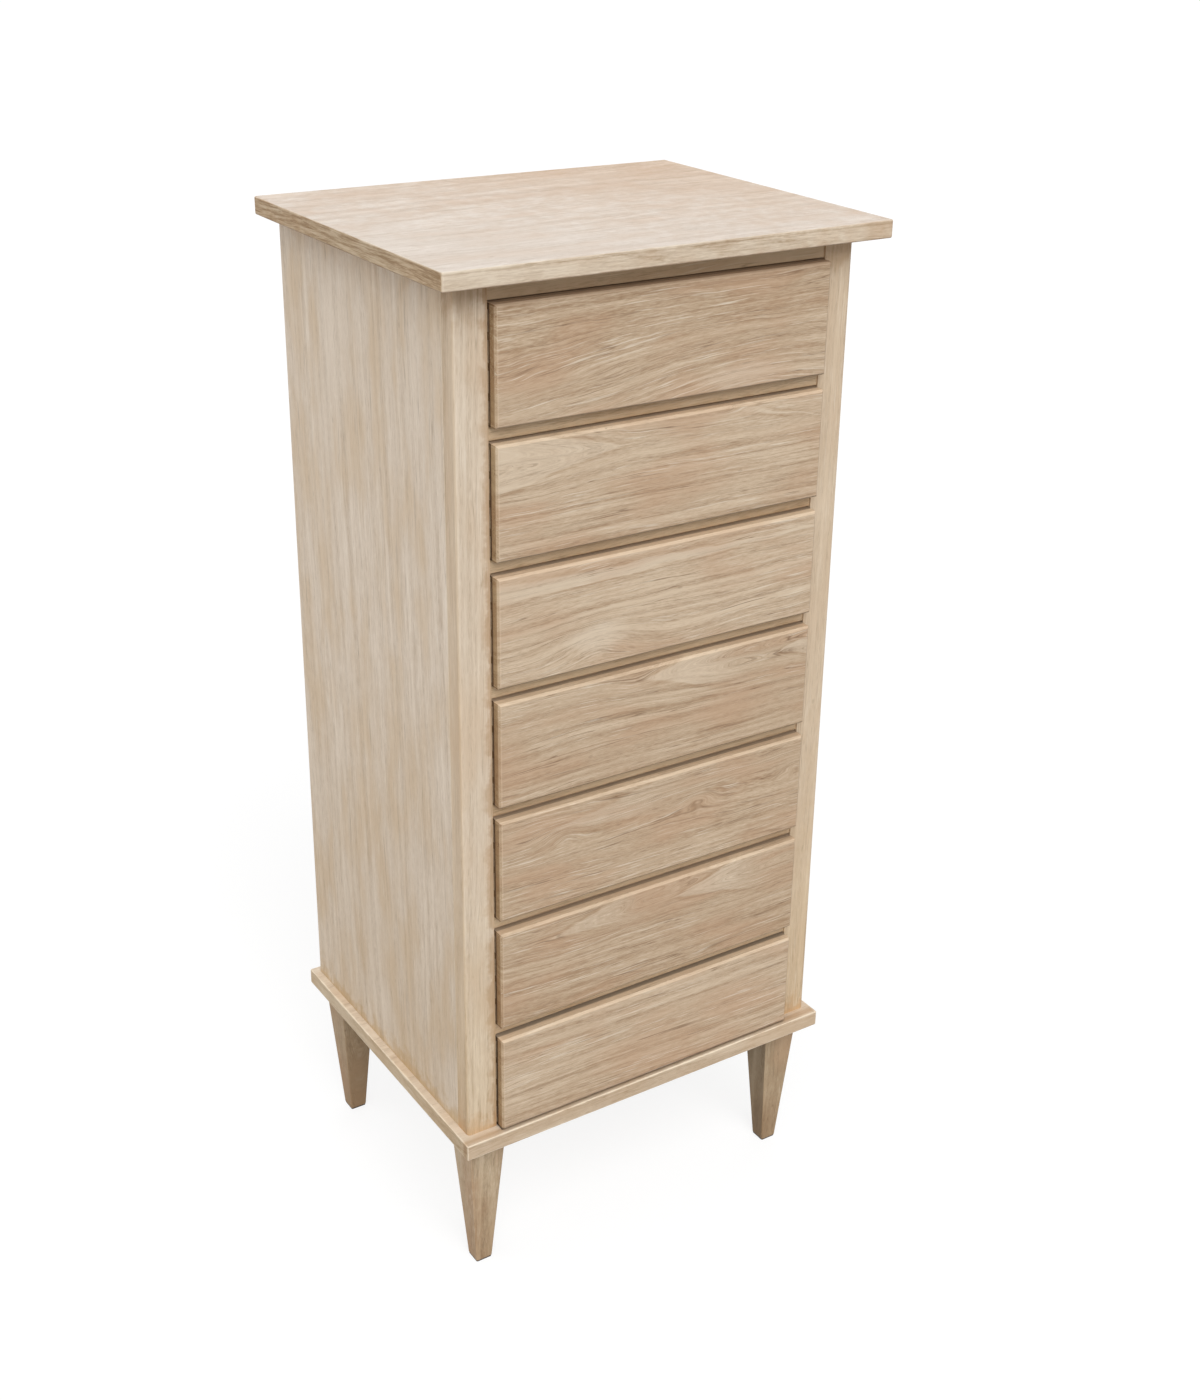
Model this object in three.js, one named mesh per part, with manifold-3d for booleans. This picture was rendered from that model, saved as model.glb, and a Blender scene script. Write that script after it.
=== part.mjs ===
// Semainier: a tall chest of seven equal drawers in limed oak, on four tapered legs.
//
// Millimetres. +X points right as one faces the drawers, +Y to the back and +Z up.
// The origin lies on the floor, under the middle of the chest's outline.
//
// The case is a front frame of two stiles, a top rail and six divider rails, with a side
// panel behind each stile and a thin back let into rebates. It stands on a base board and
// carries a top board. Each drawer has half-blind dovetails at its front corners, a back
// housed in its sides and a bottom in grooves, and it slides on runners of the side panels.

import * as THREE from "three";
import { mergeVertices } from "three/addons/utils/BufferGeometryUtils.js";
import Module from "manifold-3d";

// Case
const drawerCount = 7;
const caseWidth = 494;
const caseDepth = 406;
const panelThickness = 20;
const panelEasing = 1;

// Front frame
const stileWidth = 38;
const stileDepth = 24;
const stileRadius = 5;
const seamChamfer = 0.75;
const openingHeight = 127;
const dividerHeight = 15;
const topRailHeight = 21;
const railDepth = 44;
const railRecess = 2;
const railEasing = 0.75;
const tenonLength = 14;
const tenonThickness = 7;
const tenonWidth = 14;
const tenonSetback = 4;

// Top board
const topThickness = 20;
const topOverhangSide = 28;
const topOverhangFront = 32;
const topCornerRadius = 3;
const topEasing = 1.5;

// Base board
const baseThickness = 20;
const baseLedgeSide = 10;
const baseLedgeFront = 17;
const baseLedgeBack = 10;
const baseCornerRadius = 1.5;
const baseEasing = 1;

// Legs and glides
const legLength = 188;
const legTopWidth = 48.5;
const legFootWidth = 21.5;
const legArris = 1.25;
const legFootChamfer = 0.5;
const legInsetSide = 5;
const legInsetFront = 5;
const legInsetBack = 3;
const legTenonDiameter = 26;
const legTenonLength = 14;
const glideThickness = 2;
const glideWidth = 20.5;
const glideEasing = 0.5;
const glideNailDiameter = 2.5;
const glideNailLength = 14;
const glideNailPoint = 3;

// Back panel and rear cross rail
const backThickness = 6;
const backRebateWidth = 10;
const backEdgeGap = 0.5;
const backRailDepth = 60;
const backRailThickness = 18;

// Runners, guides, kickers and end stops of the side panels
const runnerReach = 37;
const runnerHousing = 3;
const guideHeight = 20;
const stopLength = 19;
const kickerThickness = 15;

// Drawer fronts
const frontThickness = 24;
const frontProud = 13.5;
const frontSideGap = 1;
const frontBottomGap = 0.8;
const frontTopGap = 1.2;
const frontChamfer = 2.5;

// Drawer boxes
const sideThickness = 12;
const sideEasing = 1;
const runningGap = 0.3;
const sideTopGap = 4.2;
const stopGap = 0.3;
const bottomThickness = 6;
const bottomRise = 8;
const grooveDepth = 5;
const backBoardThickness = 12;
const backBoardSetback = 10;
const backBoardDrop = 8;

// Dovetails
const tailCount = 4;
const tailLength = 10;
const tailTipShare = 0.72;
const tailSlope = 1 / 6;

// Clearance of every joint that is cut in two pieces, and the overrun of every cut
const jointGap = 0.3;
const overrun = 5;

// Facets of round stretches
const cornerFacets = 4;
const roundFacets = 24;

// Places that several pieces share
const drawerPitch = openingHeight + dividerHeight;
const caseHeight = drawerCount * openingHeight + (drawerCount - 1) * dividerHeight + topRailHeight;
const caseHalf = caseWidth / 2;
const frontEdgeY = -(topOverhangFront + caseDepth + baseLedgeBack) / 2;
const caseFrontY = frontEdgeY + topOverhangFront;
const caseBackY = caseFrontY + caseDepth;
const baseFrontY = caseFrontY - baseLedgeFront;
const baseBackY = caseBackY + baseLedgeBack;
const stileBackY = caseFrontY + stileDepth;
const railFrontY = caseFrontY + railRecess;
const railBackY = railFrontY + railDepth;
const backFaceY = caseBackY - backThickness;
const backRailFrontY = backFaceY - backRailDepth;
const baseBottomZ = glideThickness + legLength;
const caseBottomZ = baseBottomZ + baseThickness;
const caseTopZ = caseBottomZ + caseHeight;
const topFaceZ = caseTopZ + topThickness;
const openingHalf = caseHalf - stileWidth;
const panelInnerX = caseHalf - panelThickness;
const runnerInnerX = panelInnerX - runnerReach;
const frontHalf = openingHalf - frontSideGap;
const frontHeight = openingHeight - frontBottomGap - frontTopGap;
const frontFaceY = caseFrontY - frontProud;
const frontBackY = frontFaceY + frontThickness;
const sideInnerX = frontHalf - sideThickness;
const stopFrontY = backFaceY - stopLength;
const sideRearY = stopFrontY - stopGap;
const sideBottomZ = runningGap;
const sideTopZ = openingHeight - sideTopGap;
const sideHeight = sideTopZ - sideBottomZ;
const bottomLowZ = sideBottomZ + bottomRise;
const bottomHighZ = bottomLowZ + bottomThickness;
const backBoardRearY = sideRearY - backBoardSetback;
const backBoardFrontY = backBoardRearY - backBoardThickness;
const tailPitch = sideHeight / tailCount;

const axes = ["x", "y", "z"];

const wasm = await Module();
wasm.setup();

// Finishes

const finishes = {
  topOak: { color: 0xe0d4c5, roughness: 0.62 },
  frameOak: { color: 0xd3c2ab, roughness: 0.66 },
  sideOak: { color: 0xc6b6a0, roughness: 0.68 },
  frontOak: { color: 0xbfa78e, roughness: 0.66 },
  legOak: { color: 0xb9a286, roughness: 0.68 },
  boxOak: { color: 0xd6c3a4, roughness: 0.72 },
  plywood: { color: 0xd9c19a, roughness: 0.75 },
  darkPlastic: { color: 0x4a3d33, roughness: 0.55 },
};

function piece(name, geometry, finish) {
  const material = new THREE.MeshStandardMaterial({ metalness: 0, ...finishes[finish] });
  const mesh = new THREE.Mesh(geometry, material);
  mesh.name = name;
  return mesh;
}

// Helpers for shapes and solids

// Lays a geometry between two planes square to one axis, with both ends exactly on them.
function span(geometry, axis, from, to) {
  const points = geometry.attributes.position;
  const component = axes.indexOf(axis);
  geometry.computeBoundingBox();
  const low = geometry.boundingBox.min[axis];
  const high = geometry.boundingBox.max[axis];
  for (let i = 0; i < points.count; i += 1) {
    const share = (points.getComponent(i, component) - low) / (high - low);
    points.setComponent(i, component, share === 1 ? to : from + share * (to - from));
  }
  return geometry;
}

function spanAll(geometry, alongX, alongY, alongZ) {
  span(geometry, "x", ...alongX);
  span(geometry, "y", ...alongY);
  return span(geometry, "z", ...alongZ);
}

// A closed mesh as a solid that can be joined and cut. Faces that shrink to a line at a
// pole are left out.
function solidOf(geometry) {
  const bare = geometry.index ? geometry.toNonIndexed() : geometry.clone();
  bare.deleteAttribute("normal");
  bare.deleteAttribute("uv");
  const merged = mergeVertices(bare);
  const vertProperties = merged.attributes.position.array;
  const corners = merged.index.array;
  const kept = [];
  for (let i = 0; i < corners.length; i += 3) {
    const [a, b, c] = corners.slice(i, i + 3);
    if (a !== b && b !== c && c !== a) kept.push(a, b, c);
  }
  const triVerts = new Uint32Array(kept);
  return new wasm.Manifold(new wasm.Mesh({ numProp: 3, vertProperties, triVerts }));
}

// A solid as a geometry with flat faces.
function geometryOf(solid) {
  const { vertProperties, triVerts } = solid.getMesh();
  const shared = new THREE.BufferGeometry();
  shared.setAttribute("position", new THREE.BufferAttribute(vertProperties, 3));
  shared.setIndex(new THREE.BufferAttribute(triVerts, 1));
  const faceted = shared.toNonIndexed();
  faceted.computeVertexNormals();
  return faceted;
}

function block(alongX, alongY, alongZ) {
  return solidOf(spanAll(new THREE.BoxGeometry(), alongX, alongY, alongZ));
}

// A place on the X axis, drawn for the right side and mirrored for the left.
function mirrored(side, x) {
  return side === "left" ? -x : x;
}

// A stretch of the X axis, drawn for the right side and mirrored for the left.
function across(side, inner, outer) {
  return side === "left" ? [-outer, -inner] : [inner, outer];
}

// A prism along one axis. Its outline is drawn in the next two axes, in the order x, y, z, x.
function prism(outline, axis, from, to) {
  const settings = { depth: to - from, bevelEnabled: false, curveSegments: cornerFacets };
  const geometry = new THREE.ExtrudeGeometry(outline, settings);
  const points = geometry.attributes.position;
  const first = axes.indexOf(axis) + 1;
  for (let i = 0; i < points.count; i += 1) {
    const drawn = [points.getX(i), points.getY(i), points.getZ(i)];
    drawn.forEach((value, k) => points.setComponent(i, (first + k) % axes.length, value));
  }
  return solidOf(span(geometry, axis, from, to));
}

function outlineOf(corners) {
  return new THREE.Shape(corners.map(([u, v]) => new THREE.Vector2(u, v)));
}

// A rectangle with its corners cut, in the order low-low, high-low, high-high, low-high.
// A cut of zero leaves the corner square.
function chamferedRectangle([u0, u1], [v0, v1], cuts) {
  const corners = [[-1, -1], [1, -1], [1, 1], [-1, 1]].flatMap(([towardU, towardV], k) => {
    const u = towardU < 0 ? u0 : u1;
    const v = towardV < 0 ? v0 : v1;
    if (cuts[k] === 0) return [[u, v]];
    const onU = [u - towardU * cuts[k], v];
    const onV = [u, v - towardV * cuts[k]];
    return towardU === towardV ? [onV, onU] : [onU, onV];
  });
  return outlineOf(corners);
}

function roundedRectangle([u0, u1], [v0, v1], radius) {
  const outline = new THREE.Shape();
  outline.absarc(u1 - radius, v1 - radius, radius, 0, Math.PI / 2);
  outline.absarc(u0 + radius, v1 - radius, radius, Math.PI / 2, Math.PI);
  outline.absarc(u0 + radius, v0 + radius, radius, Math.PI, 1.5 * Math.PI);
  outline.absarc(u1 - radius, v0 + radius, radius, 1.5 * Math.PI, 2 * Math.PI);
  return outline;
}

// A board lying flat, with rounded corners and eased edges above and below.
function board([x0, x1], [y0, y1], [z0, z1], radius, easing) {
  const outline = roundedRectangle([x0, x1], [y0, y1], radius);
  const settings = {
    depth: z1 - z0 - 2 * easing,
    bevelThickness: easing,
    bevelSize: easing,
    bevelOffset: -easing,
    bevelSegments: 2,
    curveSegments: cornerFacets,
  };
  const geometry = new THREE.ExtrudeGeometry(outline, settings);
  return solidOf(spanAll(geometry, [x0, x1], [y0, y1], [z0, z1]));
}

// An upright round bar on the Z axis.
function roundBar(diameter, from, to) {
  const bar = new THREE.CylinderGeometry(diameter / 2, diameter / 2, to - from, roundFacets);
  return solidOf(span(bar.rotateX(Math.PI / 2), "z", from, to));
}

// Base

const legAcross = caseHalf - legInsetSide - legTopWidth / 2;
const legFrontY = caseFrontY + legInsetFront + legTopWidth / 2;
const legBackY = caseBackY - legInsetBack - legTopWidth / 2;
const legPlaces = [
  ["front_left", -legAcross, legFrontY],
  ["front_right", legAcross, legFrontY],
  ["back_left", -legAcross, legBackY],
  ["back_right", legAcross, legBackY],
];

function baseBoard() {
  const half = caseHalf + baseLedgeSide;
  const heights = [baseBottomZ, caseBottomZ];
  let plate = board([-half, half], [baseFrontY, baseBackY], heights, baseCornerRadius, baseEasing);
  for (const [, x, y] of legPlaces) {
    const holeTopZ = baseBottomZ + legTenonLength + jointGap;
    const hole = roundBar(legTenonDiameter + 2 * jointGap, baseBottomZ - overrun, holeTopZ);
    plate = plate.subtract(hole.translate([x, y, 0]));
  }
  return piece("base_board", geometryOf(plate), "frameOak");
}

// One ring of the outline of a leg or its glide: a square with its four arrises taken off.
function legRing(width, z) {
  const half = width / 2;
  const flat = half - legArris;
  return [
    [half, -flat], [half, flat], [flat, half], [-flat, half],
    [-half, flat], [-half, -flat], [-flat, -half], [flat, -half],
  ].map(([x, y]) => [x, y, z]);
}

// Skins rings of equal length into a closed solid, from the lowest ring to the highest.
function loft(rings) {
  const sides = rings[0].length;
  const index = [];
  for (let level = 0; level + 1 < rings.length; level += 1) {
    for (let i = 0; i < sides; i += 1) {
      const low = level * sides;
      const next = (i + 1) % sides;
      index.push(low + i, low + next, low + sides + next);
      index.push(low + i, low + sides + next, low + sides + i);
    }
  }
  const last = (rings.length - 1) * sides;
  for (let i = 1; i + 1 < sides; i += 1) {
    index.push(0, i + 1, i);
    index.push(last, last + i, last + i + 1);
  }
  const geometry = new THREE.BufferGeometry();
  geometry.setAttribute("position", new THREE.Float32BufferAttribute(rings.flat(2), 3));
  geometry.setIndex(index);
  return solidOf(geometry);
}

// The leg hangs from its top face at z = 0 and tapers to the foot.
function legGeometry() {
  const footSole = legRing(legFootWidth - 2 * legFootChamfer, -legLength);
  const footEdge = legRing(legFootWidth, legFootChamfer - legLength);
  const taper = loft([footSole, footEdge, legRing(legTopWidth, 0)]);
  const tenon = roundBar(legTenonDiameter, -overrun, legTenonLength);
  const nailHoleTop = glideNailLength + jointGap - legLength;
  const nailHole = roundBar(glideNailDiameter + 2 * jointGap, -legLength - overrun, nailHoleTop);
  return geometryOf(taper.add(tenon).subtract(nailHole));
}

// The glide is a square pad under the foot, with its nail moulded in. Its upper face is at z = 0.
function glideGeometry() {
  const sole = legRing(glideWidth - 2 * glideEasing, -glideThickness);
  const edge = legRing(glideWidth, glideEasing - glideThickness);
  const pad = loft([sole, edge, legRing(glideWidth, 0)]);
  const nailRadius = glideNailDiameter / 2;
  const profile = [
    [0, -glideThickness / 2],
    [nailRadius, -glideThickness / 2],
    [nailRadius, glideNailLength - glideNailPoint],
    [0, glideNailLength],
  ];
  const outline = profile.map(([radius, z]) => new THREE.Vector2(radius, z));
  const nail = new THREE.LatheGeometry(outline, roundFacets).rotateX(Math.PI / 2);
  return geometryOf(pad.add(solidOf(nail)));
}

function buildBase() {
  const base = new THREE.Group();
  base.add(baseBoard());
  const leg = legGeometry();
  const glide = glideGeometry();
  for (const [corner, x, y] of legPlaces) {
    const legMesh = piece(`leg_${corner}`, leg, "legOak");
    legMesh.position.set(x, y, baseBottomZ);
    const glideMesh = piece(`glide_${corner}`, glide, "darkPlastic");
    glideMesh.position.set(x, y, glideThickness);
    base.add(legMesh, glideMesh);
  }
  return base;
}

// Front frame

// The underside of the opening of a drawer, counted from 1 at the top.
function openingBottomZ(number) {
  return caseBottomZ + (drawerCount - number) * drawerPitch;
}

// Low and high edge of every rail, the top rail first and the dividers below it.
function railHeights() {
  const heights = [[caseTopZ - topRailHeight, caseTopZ]];
  for (let number = 1; number < drawerCount; number += 1) {
    heights.push([openingBottomZ(number) - dividerHeight, openingBottomZ(number)]);
  }
  return heights;
}

// The stub tenon of a rail end, or with a gap the mortise that takes it.
function railTenon(side, [low, high], gap) {
  const middle = (low + high) / 2;
  const reach = tenonThickness / 2 + gap;
  const frontY = railFrontY + tenonSetback;
  return block(
    across(side, openingHalf - overrun, openingHalf + tenonLength + gap),
    [frontY - gap, frontY + tenonWidth + gap],
    [middle - reach, middle + reach],
  );
}

function stile(side, name) {
  const outer = mirrored(side, caseHalf);
  const inner = mirrored(side, openingHalf);
  const outline = new THREE.Shape();
  outline.moveTo(inner, stileBackY);
  outline.lineTo(inner, caseFrontY);
  outline.lineTo(mirrored(side, caseHalf - stileRadius), caseFrontY);
  outline.quadraticCurveTo(outer, caseFrontY, outer, caseFrontY + stileRadius);
  outline.lineTo(outer, stileBackY - seamChamfer);
  outline.lineTo(mirrored(side, caseHalf - seamChamfer), stileBackY);
  let post = prism(outline, "z", caseBottomZ, caseTopZ);
  for (const heights of railHeights()) {
    post = post.subtract(railTenon(side, heights, jointGap));
  }
  return piece(name, geometryOf(post), "frameOak");
}

function rail(name, heights) {
  const cuts = [railEasing, 0, 0, railEasing];
  const section = chamferedRectangle([railFrontY, railBackY], heights, cuts);
  const bar = prism(section, "x", -openingHalf, openingHalf);
  const left = railTenon("left", heights, 0);
  const right = railTenon("right", heights, 0);
  return piece(name, geometryOf(bar.add(left).add(right)), "frameOak");
}

function buildFrontFrame() {
  const frame = new THREE.Group();
  frame.add(stile("left", "stile_left"), stile("right", "stile_right"));
  railHeights().forEach((heights, number) => {
    frame.add(rail(number ? `divider_rail_${number}` : "top_rail", heights));
  });
  return frame;
}

// Side panels, with the strips glued in them

// The L of runner and guide under a drawer, with the stop at its rear end.
function drawerTrack(side, number) {
  const level = openingBottomZ(number);
  const onDivider = number < drawerCount;
  const guideFootZ = onDivider ? level - dividerHeight : level;
  const guideTopZ = level + guideHeight;
  const guideAcross = across(side, openingHalf, panelInnerX + runnerHousing);
  const stopAcross = across(side, sideInnerX, panelInnerX + runnerHousing);
  const runnerAcross = across(side, runnerInnerX, panelInnerX + runnerHousing);
  let track = block(guideAcross, [stileBackY, backFaceY], [guideFootZ, guideTopZ]);
  track = track.add(block(stopAcross, [stopFrontY, backFaceY], [guideFootZ, guideTopZ]));
  if (onDivider) {
    track = track.add(block(runnerAcross, [railBackY, backFaceY], [guideFootZ, level]));
  }
  return track;
}

function kicker(side) {
  const low = caseTopZ - topRailHeight;
  return block(
    across(side, runnerInnerX, panelInnerX + runnerHousing),
    [railBackY, backRailFrontY],
    [low, low + kickerThickness],
  );
}

function sidePanel(side, name) {
  const rebateX = panelInnerX + backRebateWidth;
  const corners = [
    [panelInnerX, stileBackY],
    [caseHalf - seamChamfer, stileBackY],
    [caseHalf, stileBackY + seamChamfer],
    [caseHalf, caseBackY - panelEasing],
    [caseHalf - panelEasing, caseBackY],
    [rebateX, caseBackY],
    [rebateX, backFaceY],
    [panelInnerX, backFaceY],
  ];
  const outline = outlineOf(corners.map(([x, y]) => [mirrored(side, x), y]));
  let panel = prism(outline, "z", caseBottomZ, caseTopZ).add(kicker(side));
  for (let number = 1; number <= drawerCount; number += 1) {
    panel = panel.add(drawerTrack(side, number));
  }
  return piece(name, geometryOf(panel), "sideOak");
}

// Top board, back panel and rear cross rail

function topBoard() {
  const half = caseHalf + topOverhangSide;
  const depths = [frontEdgeY, caseBackY];
  const slab = board([-half, half], depths, [caseTopZ, topFaceZ], topCornerRadius, topEasing);
  return piece("top_board", geometryOf(slab), "topOak");
}

function backPanel() {
  const half = panelInnerX + backRebateWidth - backEdgeGap;
  const sheet = block([-half, half], [backFaceY, caseBackY], [caseBottomZ, caseTopZ]);
  return piece("back_panel", geometryOf(sheet), "plywood");
}

function backRail() {
  const heights = [caseTopZ - backRailThickness, caseTopZ];
  const bar = block([-panelInnerX, panelInnerX], [backRailFrontY, backFaceY], heights);
  return piece("top_back_rail", geometryOf(bar), "boxOak");
}

function buildCase() {
  const group = new THREE.Group();
  group.add(buildFrontFrame());
  group.add(sidePanel("left", "side_panel_left"), sidePanel("right", "side_panel_right"));
  group.add(backPanel(), backRail(), topBoard());
  return group;
}

// Drawers, each drawn with the floor of its opening at z = 0

// A tail's half height at a place along the drawer, or with a gap its socket's.
function tailHalf(y, gap) {
  const tipY = frontBackY - tailLength;
  return (tailPitch * tailTipShare) / 2 - (y - tipY) * tailSlope + gap;
}

// A tail's four corners as places along the drawer and heights, from its root round its tip.
function tailCorners(index, rootY, tipY, gap) {
  const middle = sideBottomZ + (index + 0.5) * tailPitch;
  const root = tailHalf(rootY, gap);
  const tip = tailHalf(tipY, gap);
  return [[rootY, middle + root], [tipY, middle + tip], [tipY, middle - tip], [rootY, middle - root]];
}

// The groove for the drawer bottom, which rests on its lower side.
function bottomGroove(acrossX, depths) {
  return block(acrossX, depths, [bottomLowZ, bottomHighZ + jointGap]);
}

function dovetailSockets(side) {
  const acrossX = across(side, sideInnerX - jointGap, frontHalf + overrun);
  const mouthY = frontBackY + overrun;
  const endY = frontBackY - tailLength - jointGap;
  const sockets = [];
  for (let index = 0; index < tailCount; index += 1) {
    const outline = outlineOf(tailCorners(index, mouthY, endY, jointGap));
    sockets.push(prism(outline, "x", ...acrossX));
  }
  return sockets;
}

function drawerFront() {
  const heights = [frontBottomGap, frontBottomGap + frontHeight];
  const depths = [frontFaceY, frontBackY];
  const cut = frontChamfer;
  const section = chamferedRectangle(depths, heights, [cut, 0, 0, cut]);
  const plan = chamferedRectangle([-frontHalf, frontHalf], depths, [cut, cut, 0, 0]);
  const lengthwise = prism(section, "x", -frontHalf, frontHalf);
  let front = lengthwise.intersect(prism(plan, "z", ...heights));
  for (const socket of [...dovetailSockets("left"), ...dovetailSockets("right")]) {
    front = front.subtract(socket);
  }
  const grooveEnd = sideInnerX + grooveDepth;
  const grooveDepths = [frontBackY - grooveDepth, frontBackY + overrun];
  return geometryOf(front.subtract(bottomGroove([-grooveEnd, grooveEnd], grooveDepths)));
}

function drawerSide(side) {
  const corners = [[sideRearY, sideBottomZ], [sideRearY, sideTopZ], [frontBackY, sideTopZ]];
  for (let index = tailCount - 1; index >= 0; index -= 1) {
    corners.push(...tailCorners(index, frontBackY, frontBackY - tailLength, 0));
  }
  corners.push([frontBackY, sideBottomZ]);
  const acrossX = across(side, sideInnerX, frontHalf);
  const tailed = prism(outlineOf(corners), "x", ...acrossX);
  const easedCuts = [0, sideEasing, sideEasing, 0];
  const section = chamferedRectangle([sideBottomZ, sideTopZ], acrossX, easedCuts);
  const eased = prism(section, "y", frontBackY - tailLength, sideRearY);
  const cutAcross = across(side, sideInnerX - overrun, sideInnerX + grooveDepth);
  const groove = bottomGroove(cutAcross, [frontBackY - tailLength - overrun, sideRearY + overrun]);
  const housing = block(
    cutAcross,
    [backBoardFrontY - jointGap, backBoardRearY + jointGap],
    [bottomHighZ, sideTopZ + overrun],
  );
  return geometryOf(tailed.intersect(eased).subtract(groove).subtract(housing));
}

function drawerBack() {
  const half = sideInnerX + grooveDepth - jointGap;
  const heights = [bottomHighZ, sideTopZ - backBoardDrop];
  const cuts = [0, 0, sideEasing, sideEasing];
  const section = chamferedRectangle([backBoardFrontY, backBoardRearY], heights, cuts);
  return geometryOf(prism(section, "x", -half, half));
}

function drawerBottom() {
  const half = sideInnerX + grooveDepth - jointGap;
  const depths = [frontBackY - grooveDepth + jointGap, backBoardRearY];
  return geometryOf(block([-half, half], depths, [bottomLowZ, bottomHighZ]));
}

function buildDrawers() {
  const drawers = new THREE.Group();
  const boards = [
    ["front", drawerFront(), "frontOak"],
    ["side_left", drawerSide("left"), "boxOak"],
    ["side_right", drawerSide("right"), "boxOak"],
    ["back", drawerBack(), "boxOak"],
    ["bottom", drawerBottom(), "plywood"],
  ];
  for (let number = 1; number <= drawerCount; number += 1) {
    const drawer = new THREE.Group();
    drawer.position.z = openingBottomZ(number);
    for (const [name, geometry, finish] of boards) {
      drawer.add(piece(`drawer_${number}_${name}`, geometry, finish));
    }
    drawers.add(drawer);
  }
  return drawers;
}

const semainier = new THREE.Group();
semainier.add(buildBase(), buildCase(), buildDrawers());

export default semainier;
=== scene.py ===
"""The looks of a tall chest of seven drawers in limed oak, built round its CAD frame."""

import logging
from collections.abc import Callable
from dataclasses import dataclass, replace
from enum import Enum
from math import cos, pi, radians, sin
from typing import Any

import bmesh
import bpy
from mathutils import Matrix, Vector


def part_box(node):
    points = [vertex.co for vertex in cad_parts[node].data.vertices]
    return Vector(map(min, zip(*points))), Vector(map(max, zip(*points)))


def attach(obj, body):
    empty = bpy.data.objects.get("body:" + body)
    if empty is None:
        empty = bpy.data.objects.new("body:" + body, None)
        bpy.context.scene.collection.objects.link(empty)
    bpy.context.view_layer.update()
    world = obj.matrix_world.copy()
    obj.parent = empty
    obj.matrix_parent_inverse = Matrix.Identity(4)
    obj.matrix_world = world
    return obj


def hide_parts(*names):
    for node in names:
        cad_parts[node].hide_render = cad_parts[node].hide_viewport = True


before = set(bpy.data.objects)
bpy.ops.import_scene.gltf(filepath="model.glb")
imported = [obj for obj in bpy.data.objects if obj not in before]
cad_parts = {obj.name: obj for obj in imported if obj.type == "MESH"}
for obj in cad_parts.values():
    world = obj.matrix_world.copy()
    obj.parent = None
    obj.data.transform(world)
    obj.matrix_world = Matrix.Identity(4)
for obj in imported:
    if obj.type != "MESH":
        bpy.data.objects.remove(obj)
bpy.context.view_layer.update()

log = logging.getLogger("semainier")

Triple = tuple[float, float, float]
Piece = bpy.types.Object
EdgeTest = Callable[[Vector, Vector], bool]

DRAWER_COUNT = 7
HIDDEN_FACES = radians(0.2)
SHARP_EDGE = radians(20)
SMOOTH_BELOW = radians(40)
MERGE_REACH = 0.00001
SLACK = 0.0001
SIDEWAYS = (1.0, 0.0, 0.0)
DEPTH = (0.0, 1.0, 0.0)
UPWARD = (0.0, 0.0, 1.0)
BACK_AND_UP = (0.0, 1.0, 1.0)
WHITE = (255.0, 255.0, 255.0)


class Lay(Enum):
    """How a board lies: the rows that turn the chest's axes into along, across and depth."""

    FLAT_ALONG_X = ((1, 0, 0), (0, 1, 0), (0, 0, 1))
    FACING_ALONG_X = ((1, 0, 0), (0, 0, 1), (0, -1, 0))
    FACING_ALONG_Z = ((0, 0, 1), (1, 0, 0), (0, 1, 0))
    SIDE_ALONG_Y = ((0, 1, 0), (0, 0, 1), (1, 0, 0))
    SIDE_ALONG_Z = ((0, 0, 1), (0, 1, 0), (-1, 0, 0))

    @property
    def turn(self) -> Matrix:
        """The turn from the chest's axes to the board's."""
        return Matrix(self.value)

    @property
    def fibre(self) -> Triple:
        """The way the fibres run, in the chest's axes."""
        return tuple(float(share) for share in self.value[0])

    @property
    def face(self) -> Triple:
        """The way the board's broad face looks, in the chest's axes."""
        return tuple(float(share) for share in self.value[2])


@dataclass(frozen=True)
class Pith:
    """Where the middle of the tree lay, seen from the middle of a board, in metres.

    Lean and drift say how fast the rings close in and move sideways along the board.
    """

    across: float
    depth: float
    lean: float = 0.0
    drift: float = 0.0


@dataclass(frozen=True)
class Swirl:
    """A bulge in the growth rings: its place and reach on the board, and its lift, in metres."""

    along: float
    across: float
    reach_along: float
    reach_across: float
    lift: float
    pale: float = 0.0


@dataclass(frozen=True)
class Wedge:
    """A pale pointed figure in the grain: its tip on the board and its reach, in metres.

    Its half width grows by the slope away from the tip, towards the board's start where the
    slope is above nought and towards its end where it is below, and only over its length.
    Its middle line rises across the board by the tilt.
    """

    along: float
    across: float
    slope: float
    reach: float
    pale: float = 0.6
    tilt: float = 0.0
    length: float = 0.15


@dataclass(frozen=True)
class StainAndPaintedShade:
    """A band that darkens a board, at a place on one of the chest's axes.

    Some bands are finish soaked into a joint or a plain change of colour; the others are
    painted shade, laid where shade falls in the slits round the drawer fronts, under the
    overhangs and beside the proud fronts. Ragged says how uneven its edge is. Its colour
    multiplies the board's. A band without strength isn't there.
    """

    axis: Triple
    place: float = 0.0
    reach: float = 0.003
    strength: float = 0.0
    ragged: float = 0.8
    colour: Triple = (232.0, 200.0, 156.0)


@dataclass(frozen=True)
class Cut:
    """How one board was cut from the tree, and the bands of finish and of painted shade on it.

    Tone is above nought on a darker board. Darkening is its growth across the board, a metre.
    """

    lay: Lay
    seed: float
    pith: Pith
    ring_width: float = 0.0045
    waviness: float = 0.004
    swirls: tuple[Swirl, ...] = ()
    wedges: tuple[Wedge, ...] = ()
    tone: float = 0.0
    darkening: float = 0.0
    stains_and_painted_shade: tuple[StainAndPaintedShade, ...] = ()
    arris_inset: float = 0.0
    lipping: float = 0.0


@dataclass(frozen=True)
class Noise:
    """Soft noise: its features in a metre along each axis, its finer layers and their strength."""

    stretch: Triple
    detail: float = 2.0
    rough: float = 0.5


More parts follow.
